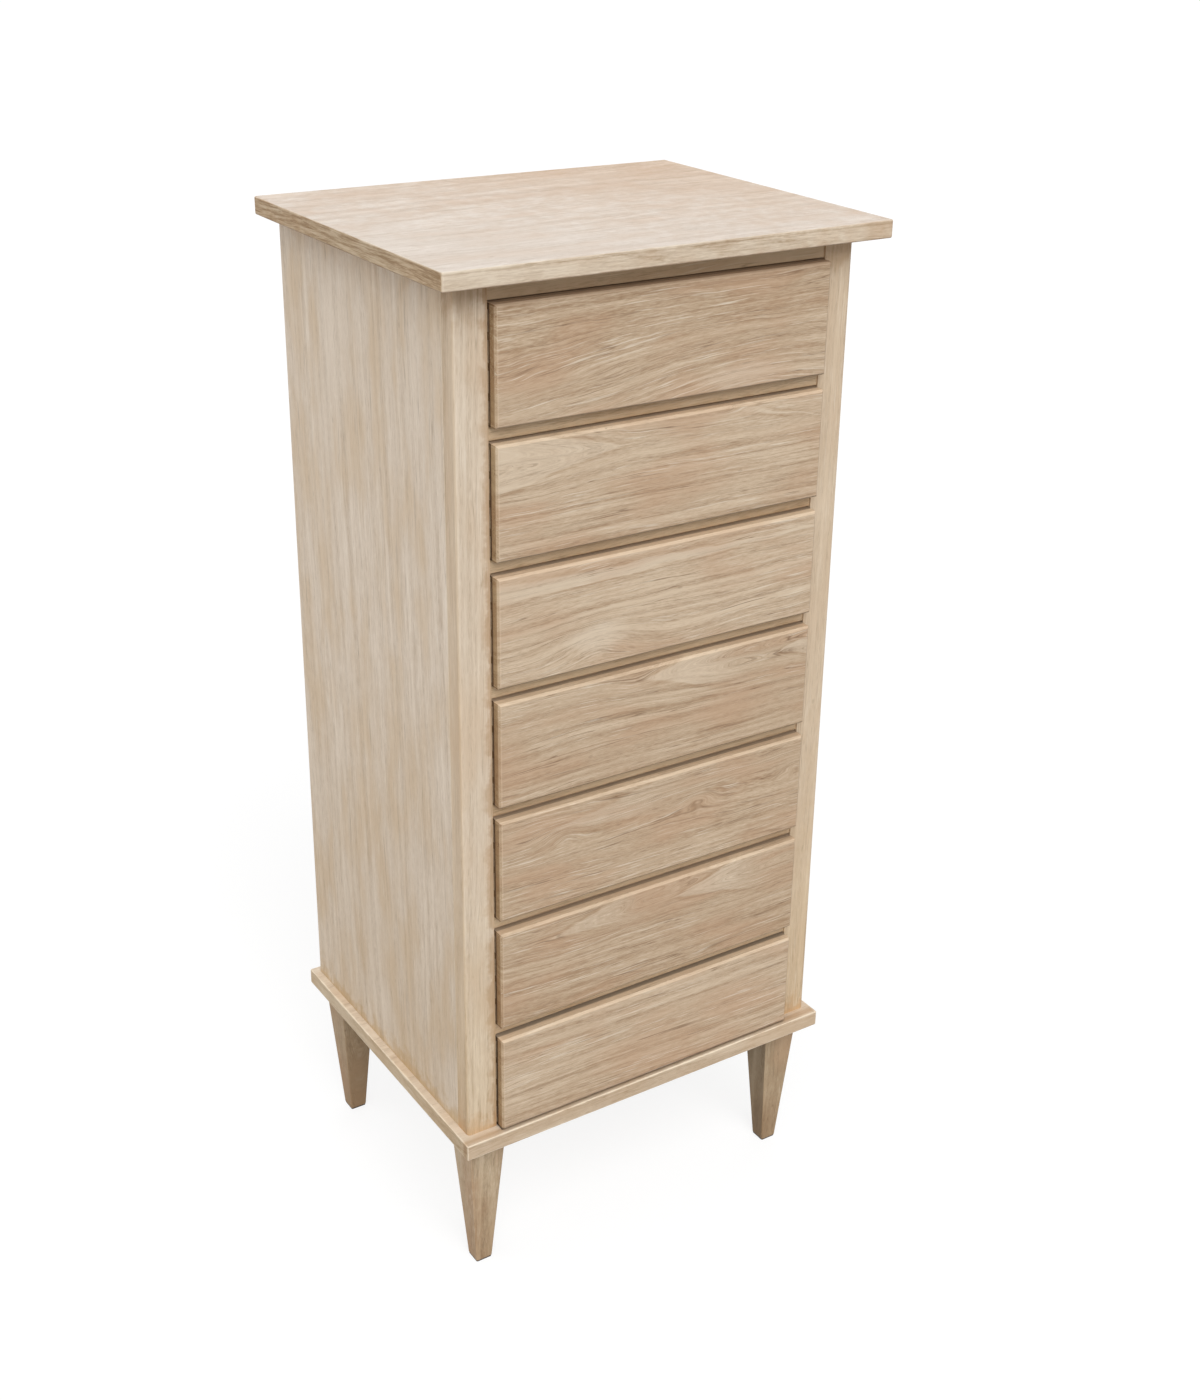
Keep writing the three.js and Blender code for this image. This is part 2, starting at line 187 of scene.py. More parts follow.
def shade(colour: Triple) -> tuple[float, float, float, float]:
    """Turns a colour of a screen into the colour of a surface.

    Args:
        colour: The red, green and blue shares, from 0 to 255.

    Returns:
        The linear colour with a full alpha.
    """
    shares = []
    for share in colour:
        value = share / 255
        shares.append(value / 12.92 if value <= 0.04045 else ((value + 0.055) / 1.055) ** 2.4)
    return (shares[0], shares[1], shares[2], 1.0)


class Signal:
    """A number, vector or colour on its way through a node tree. A sum with it adds a node."""

    def __init__(self, wiring: "Wiring", socket: bpy.types.NodeSocket) -> None:
        """Keeps the signal's tree and the socket that it comes out of."""
        self.wiring = wiring
        self.socket = socket

    def sum(self, operation: str, *others: Any) -> "Signal":
        """Works a sum by a Math node, or by a Vector Math node where the signal is a vector.

        Args:
            operation: The sum's name in Blender.
            others: The signals or plain values that it takes besides this one.

        Returns:
            The result.
        """
        kind = "ShaderNodeVectorMath" if self.socket.type == "VECTOR" else "ShaderNodeMath"
        return self.wiring.signal(kind, dict(enumerate((self, *others))), operation=operation)

    def __add__(self, other: Any) -> "Signal":
        """Adds a number or vector."""
        return self.sum("ADD", other)

    def __sub__(self, other: Any) -> "Signal":
        """Takes a number or vector away."""
        return self.sum("SUBTRACT", other)

    def __mul__(self, other: Any) -> "Signal":
        """Multiplies by a number, or by a vector part by part."""
        return self.sum("MULTIPLY", other)

    def __truediv__(self, other: Any) -> "Signal":
        """Divides by a number, or by a vector part by part."""
        return self.sum("DIVIDE", other)

    def __neg__(self) -> "Signal":
        """Turns a number's sign."""
        return self * -1.0

    def __abs__(self) -> "Signal":
        """Drops the sign."""
        return self.sum("ABSOLUTE")

    def dot(self, other: Any) -> "Signal":
        """Returns the dot product with another vector."""
        settings = {"output": "Value", "operation": "DOT_PRODUCT"}
        return self.wiring.signal("ShaderNodeVectorMath", {0: self, 1: other}, **settings)

    def parts(self) -> list["Signal"]:
        """Returns the three parts of a vector."""
        split = self.wiring.node("ShaderNodeSeparateXYZ", {0: self})
        return list(self.wiring.read(split).values())

    def ramp(self, start: Any, end: Any, low: Any = 0.0, high: Any = 1.0) -> "Signal":
        """Returns a smooth step from low to high while the signal goes from start to end."""
        sockets = dict(enumerate((self, start, end, low, high)))
        return self.wiring.signal("ShaderNodeMapRange", sockets, interpolation_type="SMOOTHSTEP")

    def noise(self, noise: Noise) -> "Signal":
        """Returns soft noise at a place. Its mean is about 0.5."""
        sockets = {"Vector": self * noise.stretch, "Scale": 1.0, "Detail": noise.detail}
        return self.wiring.signal("ShaderNodeTexNoise", {**sockets, "Roughness": noise.rough})

    def around(self, strength: Any) -> "Signal":
        """Returns how far a noise is from its mean, times a strength."""
        return (self - 0.5) * strength


Signals = dict[str, Signal]


class Wiring:
    """Places nodes in one node tree and joins them."""

    def __init__(self, tree: bpy.types.NodeTree) -> None:
        """Keeps the tree that the nodes go into."""
        self.tree = tree

    @classmethod
    def afresh(cls, owner: Any) -> "Wiring":
        """Empties the node tree of a material or world and returns its wiring.

        Args:
            owner: The material or world.

        Returns:
            The wiring of its empty tree.
        """
        owner.use_nodes = True
        owner.node_tree.nodes.clear()
        return cls(owner.node_tree)

    def node(self, kind: str, sockets: dict[Any, Any] | None = None, **settings: Any) -> Any:
        """Adds a node.

        Args:
            kind: The node's Blender type.
            sockets: What each input takes, a signal or a plain value, by its name or number.
            settings: The node's own settings.

        Returns:
            The new node.
        """
        made = self.tree.nodes.new(kind)
        for name, value in settings.items():
            setattr(made, name, value)
        for key, value in (sockets or {}).items():
            if isinstance(value, Signal):
                self.tree.links.new(value.socket, made.inputs[key])
            else:
                made.inputs[key].default_value = value
        return made

    def signal(
        self, kind: str, sockets: dict[Any, Any], output: Any = 0, **settings: Any
    ) -> Signal:
        """Adds a node and returns one of its outputs, by its name or number."""
        return Signal(self, self.node(kind, sockets, **settings).outputs[output])

    def read(self, node: Any) -> Signals:
        """Returns all outputs of a node by their names."""
        return {output.name: Signal(self, output) for output in node.outputs}

    def blend(self, share: Any, first: Any, second: Any, mode: str = "MIX") -> Signal:
        """Returns a mix of two colours."""
        sockets = {0: share, 6: first, 7: second}
        return self.signal("ShaderNodeMix", sockets, 2, data_type="RGBA", blend_type=mode)


class SharedEffect:
    """A shader group, built once and placed in many materials."""

    LABEL = ""
    VALUES: tuple[str, ...] = ()
    VECTORS: tuple[str, ...] = ()
    COLOURS: tuple[str, ...] = ()
    KINDS = {"VALUE": "NodeSocketFloat", "VECTOR": "NodeSocketVector", "RGBA": "NodeSocketColor"}

    def __init__(self) -> None:
        """Builds the group round what the effect wires."""
        self.tree = bpy.data.node_groups.new(self.LABEL, "ShaderNodeTree")
        inputs = {"VALUE": self.VALUES, "VECTOR": self.VECTORS, "RGBA": self.COLOURS}
        for kind, labels in inputs.items():
            for label in labels:
                self._open(label, "INPUT", kind)
        self.wiring = Wiring(self.tree)
        results = self.wire(self.wiring.read(self.wiring.node("NodeGroupInput")))
        for label, result in results.items():
            self._open(label, "OUTPUT", result.socket.type)
        self.wiring.node("NodeGroupOutput", results)

    def _open(self, label: str, way: str, kind: str) -> None:
        """Gives the group one more socket."""
        self.tree.interface.new_socket(label, in_out=way, socket_type=self.KINDS[kind])

    def wire(self, given: Signals) -> Signals:
        """Wires the effect.

        Args:
            given: The effect's inputs by their labels.

        Returns:
            Its results by their labels.
        """
        raise NotImplementedError

    def place(self, wiring: Wiring, sockets: dict[str, Any]) -> Signals:
        """Places the group in a material and returns its results."""
        return wiring.read(wiring.node("ShaderNodeGroup", sockets, node_tree=self.tree))


class GrowthRings(SharedEffect):
    """The growth rings' distance from the pith with its slow waves, and the way they flow."""

    LABEL = "growth_rings"
    VALUES = ("Pith Across", "Pith Depth", "Lean", "Drift", "Waviness", "Lift")
    VECTORS = ("Place", "Seed")
    SWELL = Noise((2.6, 9.0, 9.0), 1.0)
    SWELL_SHARE = 4.0
    RIPPLE = Noise((11.0, 42.0, 42.0))

    def wire(self, given: Signals) -> Signals:
        """Wires the distance and lays the grain's axes along it.

        Args:
            given: The place on the board, its seed, and the tree's shape and waves.

        Returns:
            The distance from the pith, and the place with its way across the fibres bent to it.
        """
        along, side, up = given["Place"].parts()
        seeded = given["Place"] + given["Seed"]
        across = side - given["Pith Across"] - along * given["Drift"]
        depth = up + given["Pith Depth"]
        ring = (across * across + depth * depth).sum("SQRT") + along * given["Lean"]
        ring += seeded.noise(self.SWELL).around(given["Waviness"] * self.SWELL_SHARE)
        ring += seeded.noise(self.RIPPLE).around(given["Waviness"])
        ring += given["Lift"]
        flow = self.wiring.signal("ShaderNodeCombineXYZ", {0: along, 1: ring, 2: up})
        return {"Ring": ring, "Flow": flow + given["Seed"]}


class RingSwirl(SharedEffect):
    """The lift that a bulge gives to the growth rings round it, and its pale heart."""

    LABEL = "ring_swirl"
    VALUES = ("Lift",)
    VECTORS = ("Place", "Centre", "Reach")
    EDGE = Noise((26.0, 120.0, 120.0), 3.0, 0.6)
    RAGGED = 0.7
    HEART = (0.35, 0.95)

    def wire(self, given: Signals) -> Signals:
        """Wires a bell round the bulge's centre.

        Args:
            given: The place on the board, and the bulge's centre, reach and lift.

        Returns:
            The lift of the rings and the mask of the pale heart.
        """
        shares = (given["Place"] - given["Centre"]) / given["Reach"]
        fall = (-shares.dot(shares)).sum("EXPONENT")
        uneven = given["Place"].noise(self.EDGE).around(self.RAGGED)
        return {"Lift": fall * given["Lift"], "Heart": (fall + uneven).ramp(*self.HEART)}


class RingWedge(SharedEffect):
    """The lift that a pointed figure gives to the growth rings, its pale heart and dark rim."""

    LABEL = "ring_wedge"
    VALUES = ("Slope", "Tilt", "Length", "Reach")
    VECTORS = ("Place", "Tip")
    WAVE = Noise((16.0, 60.0, 60.0))
    WAVE_REACH = 0.012
    SHOULDER = 0.004
    POINT = 0.003
    RIM = (-0.0045, -0.0008)
    HEART = (-0.0008, 0.003)
    RIM_SHARE = 1.3
    HEART_SHARE = 2.3
    FADE = (0.5, 1.3, 1.0, 0.0)
    MIDDLE = 0.006

    def wire(self, given: Signals) -> Signals:
        """Wires the figure's half width along it, and masks from the distance to its edge.

        Args:
            given: The place on the board, and the figure's tip, slope, tilt, length and reach.

        Returns:
            The lift of the rings, and the mask of the heart, which is below nought on the rim.
        """
        along, side, _ = (given["Place"] - given["Tip"]).parts()
        side += given["Place"].noise(self.WAVE).around(self.WAVE_REACH)
        side -= along * given["Tilt"]
        widest = given["Length"] * abs(given["Slope"])
        opening = (-along * given["Slope"]).sum("SMOOTH_MIN", widest, self.SHOULDER)
        half = opening.sum("SMOOTH_MAX", 0.0, self.POINT)
        off = abs(side)
        inside = half - off
        rim = inside.ramp(*self.RIM) * half.ramp(0.0, self.POINT)
        heart = inside.ramp(*self.HEART) * self.HEART_SHARE - rim * self.RIM_SHARE
        left = (abs(along) / given["Length"]).ramp(*self.FADE)
        share = side / given["Reach"]
        lift = -(half * (side / (off + self.MIDDLE)))
        return {"Heart": heart * left, "Lift": lift * (-(share * share)).sum("EXPONENT")}


class OakGrain(SharedEffect):
    """The bands, streaks, fibres, veins, pores, flecks and lime that follow the rings."""

    LABEL = "oak_grain"
    VALUES = ("Ring", "Ring Width")
    VECTORS = ("Flow",)
    BANDS = {"Scale": 1.0, "Detail": 3.0, "Roughness": 0.62}
    BAND_DRIFT = 1.1
    EARLY_WOOD = (0.42, 0.62)
    STREAKS = Noise((26.0, 430.0, 380.0), 4.0, 0.72)
    FIBRES = Noise((110.0, 1500.0, 1300.0), 2.0, 0.6)
    STIR = Noise((5.0, 26.0, 26.0))
    STIR_STEP = (0.34, 0.66, 0.5, 1.5)
    VEINS = Noise((5.5, 230.0, 180.0), 2.0, 0.4)
    VEIN_WIDTH = 0.026
    VEIN_PATCHES = Noise((8.0, 90.0, 80.0))
    PATCH_STEP = (0.46, 0.66)
    PORES = Noise((75.0, 2100.0, 2100.0), 1.0)
    PORE_STEP = (0.54, 0.66)
    LIME = Noise((21.0, 740.0, 600.0))
    LIME_STEP = (0.55, 0.72)
    DUST = Noise((7.0, 34.0, 34.0), 1.0)
    DUST_STEP = (0.4, 0.62, 0.25, 1.5)
    CLOUDS = Noise((8.0, 26.0, 26.0))
    FLECK_CELLS = (28.0, 64.0, 64.0)
    FLECK_STEP = (0.13, 0.04)
    FLECK_CHANCE = (0.9, 0.94)
    FIBRE_HEIGHT = 0.8

    def wire(self, given: Signals) -> Signals:
        """Wires each mask from its own noise.

        Args:
            given: The rings' distance, their width, and the flow of the fibres.

        Returns:
            The masks, and the height of the relief.
        """
        flow = given["Flow"]
        turns = given["Ring"] / given["Ring Width"] + flow.parts()[0] * self.BAND_DRIFT
        sockets = {"W": turns, **self.BANDS}
        bands = self.wiring.signal("ShaderNodeTexNoise", sockets, noise_dimensions="1D")
        fibres = flow.noise(self.FIBRES)
        off = abs(flow.noise(self.VEINS) - 0.5)
        patches = flow.noise(self.VEIN_PATCHES).ramp(*self.PATCH_STEP)
        pores = flow.noise(self.PORES).ramp(*self.PORE_STEP) * bands.ramp(*self.EARLY_WOOD)
        sockets = {"Vector": flow * self.FLECK_CELLS, "Scale": 1.0}
        cells = self.wiring.read(self.wiring.node("ShaderNodeTexVoronoi", sockets))
        chosen = cells["Color"].parts()[0].ramp(*self.FLECK_CHANCE)
        dust = flow.noise(self.DUST).ramp(*self.DUST_STEP)
        return {
            "Stir": flow.noise(self.STIR).ramp(*self.STIR_STEP),
            "Flecks": cells["Distance"].ramp(*self.FLECK_STEP) * chosen,
            "Bands": bands,
            "Streaks": flow.noise(self.STREAKS),
            "Fibres": fibres,
            "Veins": off.ramp(self.VEIN_WIDTH, 0.0) * patches,
            "Pores": pores,
            "Lime": flow.noise(self.LIME).ramp(*self.LIME_STEP) * dust,
            "Clouds": flow.noise(self.CLOUDS),
            "Height": fibres.around(self.FIBRE_HEIGHT) - pores,
        }


class LimedOakColour(SharedEffect):
    """The colour of limed oak, from the masks of its grain."""

    LABEL = "limed_oak_colour"
    MASKS = ("Stir", "Bands", "Streaks", "Fibres", "Veins", "Pores", "Lime", "Clouds", "Flecks")
    PARTS = ("Band", "Streak", "Fibre", "Cloud", "Vein", "Pore", "Lime", "Fleck")
    SHARES = tuple(map("{} Share".format, PARTS))
    VALUES = (*MASKS, *SHARES, "End", "Edge", "Heart", "Shift", "Lipping")
    COLOURS = ("Pale", "Deep", "Vein", "Blush", "Chalk", "End Grain", "Edge Grain")
    HEART_CALM = 0.15
    HEART_LIGHT = 0.3
    HEART_CHALK = 0.3
    BLUSH_STEP = (0.42, 0.70)
    BLUSH_SHARE = 0.5
    DARK_STEP = (0.6, 1.7)
    DARK_SHARE = 0.75
    LIGHT_STEP = (0.4, -0.6)
    LIGHT_SHARE = 0.6

    def wire(self, given: Signals) -> Signals:
        """Wires the board's tone, and lays the colours over each other by it and the masks.

        Args:
            given: The masks, the finish's shares and its colours.

        Returns:
            The colour, and the tone that it was mixed by.
        """
        blend, heart = self.wiring.blend, given["Heart"]
        tone = given["Bands"].around(given["Band Share"])
        tone += given["Streaks"].around(given["Streak Share"])
        tone = tone * (given["Lipping"] + given["Stir"]) + 0.5
        tone += given["Fibres"].around(given["Fibre Share"])
        tone += given["Clouds"].around(given["Cloud Share"])
        tone += given["Shift"]
        tone *= heart * -self.HEART_CALM + 1.0
        tone += heart * -self.HEART_LIGHT
        colour = blend(tone, given["Pale"], given["Deep"])
        blushed = blend(self.BLUSH_SHARE, colour, given["Blush"])
        colour = blend(given["Clouds"].ramp(*self.BLUSH_STEP), colour, blushed)
        colour = blend(heart * self.HEART_CHALK, colour, given["Chalk"])
        overlays = {"Veins": "Vein", "Pores": "Vein", "Flecks": "Vein", "Lime": "Chalk"}
        for mask, over in overlays.items():
            share = given[mask] * given[f"{mask.removesuffix('s')} Share"]
            colour = blend(share, colour, given[over])
        lipped = given["Lipping"].sum("MINIMUM", 1.0)
        dark = tone.ramp(*self.DARK_STEP) * lipped * self.DARK_SHARE
        colour = blend(dark, colour, given["Vein"])
        light = tone.ramp(*self.LIGHT_STEP) * lipped * self.LIGHT_SHARE
        colour = blend(light, colour, given["Chalk"])
        colour = blend(given["Edge"], colour, given["Edge Grain"], "MULTIPLY")
        colour = blend(given["End"], colour, given["End Grain"], "MULTIPLY")
        return {"Color": colour, "Tone": tone}


class ArrisWear(SharedEffect):
    """A mask along the arrises of a box, broken up as hand wear is."""

    LABEL = "arris_wear"
    VALUES = ("Inset", "Width")
    VECTORS = ("Place", "Half Size", "Seed")
    RUB = Noise((28.0, 28.0, 28.0), 3.0, 0.6)
    RUB_STEP = (0.3, 0.7, 0.3, 1.7)

    def wire(self, given: Signals) -> Signals:
        """Wires the distance from the nearest arris: the second of those from the six faces.

        Args:
            given: The place from the box's middle, its half size, and the wear's inset and width.

        Returns:
            The mask of the wear.
        """
        first, second, third = (given["Half Size"] - abs(given["Place"])).parts()
        upper = first.sum("MAXIMUM", second).sum("MINIMUM", third)
        off = abs(first.sum("MINIMUM", second).sum("MAXIMUM", upper) - given["Inset"])
        rub = (given["Place"] + given["Seed"]).noise(self.RUB).ramp(*self.RUB_STEP)
        return {"Mask": (off / (given["Width"] * rub)).ramp(1.0, 0.0)}


class StainAndPaintedShadeMask(SharedEffect):
    """A mask that fades away from a plane, a joint or the edge of a slit, with an uneven edge."""

    LABEL = "stain_and_painted_shade_mask"
    VALUES = ("Joint", "Reach", "Ragged")
    VECTORS = ("Place", "Axis", "Seed")
    UNEVEN = Noise((55.0, 55.0, 55.0), 3.0, 0.6)
    SWING = (0.25, 0.75, -1.0, 1.0)

    def wire(self, given: Signals) -> Signals:
        """Wires the distance from the plane as a share of the band's uneven reach.

        Args:
            given: The place in the chest, and the joint's axis, place, reach, edge and seed.

        Returns:
            The mask of the band of finish or of painted shade.
        """
        off = abs(given["Place"].dot(given["Axis"]) - given["Joint"])
        swing = (given["Place"] + given["Seed"]).noise(self.UNEVEN).ramp(*self.SWING)
        reach = given["Reach"] * (swing * given["Ragged"] + 1.0)
        return {"Mask": (off / reach).ramp(1.0, 0.0)}


class OakEffects:
    """The shared effects that every wooden finish is made of."""

    def __init__(self) -> None:
        """Builds each effect once."""
        self.rings = GrowthRings()
        self.swirl = RingSwirl()
        self.wedge = RingWedge()
        self.grain = OakGrain()
        self.colour = LimedOakColour()
        self.arris = ArrisWear()
        self.stain_and_painted_shade = StainAndPaintedShadeMask()


class Coat:
    """A new material that is laid on one piece."""

    def __init__(self, piece: Piece, kind: str) -> None:
        """Makes the empty material, named after its piece and its kind.

        Args:
            piece: The piece that it is for.
            kind: What it is made of, for its name.
        """
        self.piece = piece
        self.material = bpy.data.materials.new(f"{piece.name}_{kind}")
        self.wiring = Wiring.afresh(self.material)

    def spot(self) -> tuple[Signal, Signal]:
        """Returns the place in the chest and the way that the surface looks there."""
        given = self.wiring.read(self.wiring.node("ShaderNodeTexCoord"))
        return given["Object"], given["Normal"]

    def lay(self, surface: Signal) -> None:
        """Ends the material in a surface and puts it on the whole piece, by its own slots.

        Args:
            surface: The surface's shader.
        """
        self.wiring.node("ShaderNodeOutputMaterial", {"Surface": surface})
        if not self.piece.material_slots:
            self.piece.data.materials.append(None)
        for slot in self.piece.material_slots:
            slot.link = "OBJECT"
            slot.material = self.material

    def lay_uneven(
        self, height: Signal, strength: float, depth: float, sockets: dict[str, Any]
    ) -> None:
        """Lays a surface with a fine relief.

        Args:
            height: The relief's height.
            strength: How strongly it shows.
            depth: How deep it is, in metres.
            sockets: What the surface takes besides, by the shader's names.
        """
        relief = {"Strength": strength, "Distance": depth, "Height": height}
        normal = self.wiring.signal("ShaderNodeBump", relief)
        self.lay(self.wiring.signal("ShaderNodeBsdfPrincipled", {**sockets, "Normal": normal}))


@dataclass(frozen=True)
class OakFinish:
    """One wooden finish: its colours, how strongly each part of the grain shows, its sheen, and a
    painted highlight on the faces that look upward.
    """

    slot: str
    pale: Triple
    deep: Triple
    vein: Triple
    blush: Triple
    chalk: Triple
    arris: Triple
    end_grain: Triple = (218.0, 206.0, 188.0)
    edge_grain: Triple = WHITE
    painted_top_shading: Triple = WHITE
    painted_top_light_share: float = 0.0
    band_share: float = 1.6
    streak_share: float = 1.5
    fibre_share: float = 0.8
    cloud_share: float = 0.8
    vein_share: float = 0.45
    pore_share: float = 0.35
    lime_share: float = 0.3
    arris_share: float = 0.45
    arris_width: float = 0.0016
    fleck_share: float = 0.3
    roughness: float = 0.58
    relief: float = 0.35

    END_STEP = (0.5, 0.9)
    EDGE_STEP = (0.8, 0.4)
    PAINTED_TOP_LIGHT_STEP = (0.3, 0.65)
    SHEEN_STEP = (0.2, 0.8)
    SHEEN_SWING = 0.06
    SPECULAR = 0.3
    RELIEF_DEPTH = 0.0004
    SEED_STEPS = (13.7, 5.3, 9.1)
    SWIRL_DEPTH = 0.08
    LIPPED_EDGE = 0.3
    LIPPED_TILT = 0.035

    def dress(self, effects: OakEffects, piece: Piece, cut: Cut) -> None:
        """Gives a piece its own material in this finish.

        Args:
            effects: The shared effects.
            piece: The piece, with its place in its mesh.
            cut: How its board was cut.
        """
        coat = Coat(piece, self.slot)
        wiring = coat.wiring
        spot, normal = coat.spot()
        low, high = box_of(piece)
        centre = (low + high) / 2
        end = abs(normal.dot(cut.lay.fibre)).ramp(*self.END_STEP)
        edge = abs(normal.dot(cut.lay.face)).ramp(*self.EDGE_STEP)
        place = self._board_place(spot, cut, centre)
        if cut.lipping:
            place = self._lipped_place(place, end)
        lift, heart = self._figure(effects, place, cut)
        sockets = {
            "Place": place,
            "Seed": tuple(cut.seed * step for step in self.SEED_STEPS),
            "Pith Across": cut.pith.across,
            "Pith Depth": cut.pith.depth,
            "Lean": cut.pith.lean,
            "Drift": cut.pith.drift,
            "Waviness": cut.waviness,
            "Lift": lift,
        }
        rings = effects.rings.place(wiring, sockets)
        grain = effects.grain.place(wiring, {**rings, "Ring Width": cut.ring_width})
        sockets = {
            **{label: grain[label] for label in LimedOakColour.MASKS},
            **self._shown(),
            "End": end,
            "Edge": edge,
            "Heart": heart,
            "Lipping": (edge * self.LIPPED_EDGE).sum("MAXIMUM", end) * cut.lipping,
            "Shift": place.parts()[1] * cut.darkening + cut.tone,
        }
        coloured = effects.colour.place(wiring, sockets)
        seed = (cut.seed, cut.seed, cut.seed)
        sockets = {
            "Place": spot - tuple(centre),
            "Half Size": tuple(high - centre),
            "Inset": cut.arris_inset,
            "Width": self.arris_width,
            "Seed": seed,
        }
        worn = effects.arris.place(wiring, sockets)["Mask"] * self.arris_share
        colour = wiring.blend(worn, coloured["Color"], shade(self.arris))
        for stain_and_painted_shade in cut.stains_and_painted_shade:
            if stain_and_painted_shade.strength:
                colour = self._stained_and_painted_shade(effects, spot, stain_and_painted_shade, seed, colour)
        # Painted light: faces that look upward are blended towards a lighter colour, as if lit
        # from above.
        if self.painted_top_light_share:
            share = normal.dot(UPWARD).ramp(*self.PAINTED_TOP_LIGHT_STEP) * self.painted_top_light_share
            colour = wiring.blend(share, colour, shade(self.painted_top_shading))
        sheen = (self.roughness - self.SHEEN_SWING, self.roughness + self.SHEEN_SWING)
        sockets = {
            "Base Color": colour,
            "Roughness": coloured["Tone"].ramp(*self.SHEEN_STEP, *sheen),
            "Specular IOR Level": self.SPECULAR,
        }
        coat.lay_uneven(grain["Height"], self.relief, self.RELIEF_DEPTH, sockets)

    @staticmethod
    def _board_place(spot: Signal, cut: Cut, centre: Vector) -> Signal:
        """Returns the place on the board: along the fibres, across them and in depth.

        Args:
            spot: The place in the chest.
            cut: How the board was cut.
            centre: The board's middle.

        Returns:
            The place from the board's middle.
        """
        turn = cut.lay.turn
        sockets = {
            "Vector": spot,
            "Location": tuple(-(turn @ centre)),
            "Rotation": tuple(turn.to_euler("XYZ")),
        }
        return spot.wiring.signal("ShaderNodeMapping", sockets, vector_type="POINT")

    def _lipped_place(self, place: Signal, end: Signal) -> Signal:
        """Returns the place with the fibres of the board's ends turned to run across it.

        Args:
            place: The place on the board.
            end: The mask of its ends.

        Returns:
            The place that the grain is read at.
        """
        along, across, up = place.parts()
        tilted = across * self.LIPPED_TILT + up
        turned = place.wiring.signal("ShaderNodeCombineXYZ", {0: across, 1: tilted, 2: along})
        sockets = {0: end, 4: place, 5: turned}
        return place.wiring.signal("ShaderNodeMix", sockets, 1, data_type="VECTOR")

    def _figure(self, effects: OakEffects, place: Signal, cut: Cut) -> tuple[Any, Any]:
        """Returns the lift and the pale mask of all the board's swirls and wedges together.

        Args:
            effects: The shared effects.
            place: The place on the board.
            cut: How the board was cut.

        Returns:
            The lift and the mask, or nought where there are none.
        """
        lift: Any = 0.0
        heart: Any = 0.0
        for figure in (*cut.swirls, *cut.wedges):
            middle = (figure.along, figure.across, 0.0)
            if isinstance(figure, Swirl):
                reach = (figure.reach_along, figure.reach_across, self.SWIRL_DEPTH)
                sockets = {"Centre": middle, "Reach": reach, "Lift": figure.lift}
                effect = effects.swirl
            else:
                sockets = {"Tip": middle, "Slope": figure.slope, "Tilt": figure.tilt}
                sockets.update({"Length": figure.length, "Reach": figure.reach})
                effect = effects.wedge
            made = effect.place(place.wiring, {"Place": place, **sockets})
            lift = made["Lift"] + lift
            heart = made["Heart"] * figure.pale + heart
        return lift, heart

    def _shown(self) -> dict[str, Any]:
        """Returns this finish's shares and colours by the colour effect's labels.

        Returns:
            What the colour effect takes from the finish.
        """
        shown = {}
        for label in LimedOakColour.SHARES + LimedOakColour.COLOURS:
            value = getattr(self, label.lower().replace(" ", "_"))
            shown[label] = shade(value) if label in LimedOakColour.COLOURS else value
        return shown

    @staticmethod
    def _stained_and_painted_shade(
        effects: OakEffects, spot: Signal, stain_and_painted_shade: StainAndPaintedShade, seed: Triple, colour: Signal
    ) -> Signal:
        """Returns the colour darkened by one band of finish or of painted shade.

        Args:
            effects: The shared effects.
            spot: The place in the chest.
            stain_and_painted_shade: The band of finish or of painted shade.
            seed: What makes its edge the board's own.
            colour: The board's colour.

        Returns:
            The stained colour.
        """
        sockets = {
            "Place": spot,
            "Axis": stain_and_painted_shade.axis,
            "Joint": stain_and_painted_shade.place,
            "Reach": stain_and_painted_shade.reach,
            "Ragged": stain_and_painted_shade.ragged,
            "Seed": seed,
        }
        share = effects.stain_and_painted_shade.place(spot.wiring, sockets)["Mask"] * stain_and_painted_shade.strength
        return spot.wiring.blend(share, colour, shade(stain_and_painted_shade.colour), "MULTIPLY")


FRONT_OAK = OakFinish(
    slot="front_oak",
    pale=(212, 191, 165),
    deep=(167, 138, 108),
    vein=(120, 92, 66),
    blush=(198, 165, 136),
    chalk=(230, 218, 199),
    arris=(216, 194, 166),
    end_grain=(213, 206, 192),
    edge_grain=(246, 240, 230),
    # Painted highlight on the fronts' upward faces.
    painted_top_shading=(236, 213, 184),
    painted_top_light_share=0.3,
    band_share=1.05,
    streak_share=1.3,
    fibre_share=1.3,
    vein_share=0.75,
    lime_share=0.45,
    arris_share=0.25,
    arris_width=0.0012,
)
TOP_OAK = OakFinish(
    slot="top_oak",
    pale=(219, 208, 197),
    deep=(196, 181, 166),
    vein=(158, 134, 106),
    blush=(214, 196, 180),
    chalk=(230, 224, 216),
    arris=(232, 219, 200),
    end_grain=(226, 217, 202),
    edge_grain=(255, 248, 234),
    band_share=0.55,
    streak_share=1.7,
    fibre_share=1.5,
    cloud_share=1.1,
    vein_share=0.4,
    pore_share=0.25,
    fleck_share=0.45,
)
FRAME_OAK = OakFinish(
    slot="frame_oak",
    pale=(228, 213, 193),
    deep=(197, 176, 151),
    vein=(156, 131, 101),
    blush=(218, 195, 168),
    chalk=(240, 230, 216),
    arris=(232, 216, 190),
    end_grain=(226, 216, 200),
    edge_grain=(246, 240, 232),
    band_share=0.8,
    streak_share=1.2,
    cloud_share=0.9,
)
BASE_OAK = replace(
    FRAME_OAK,
    edge_grain=(240, 233, 224),
    end_grain=(246, 246, 240),
    arris=(242, 228, 206),
    arris_share=0.75,
    arris_width=0.0022,
    band_share=0.45,
    streak_share=0.7,
)
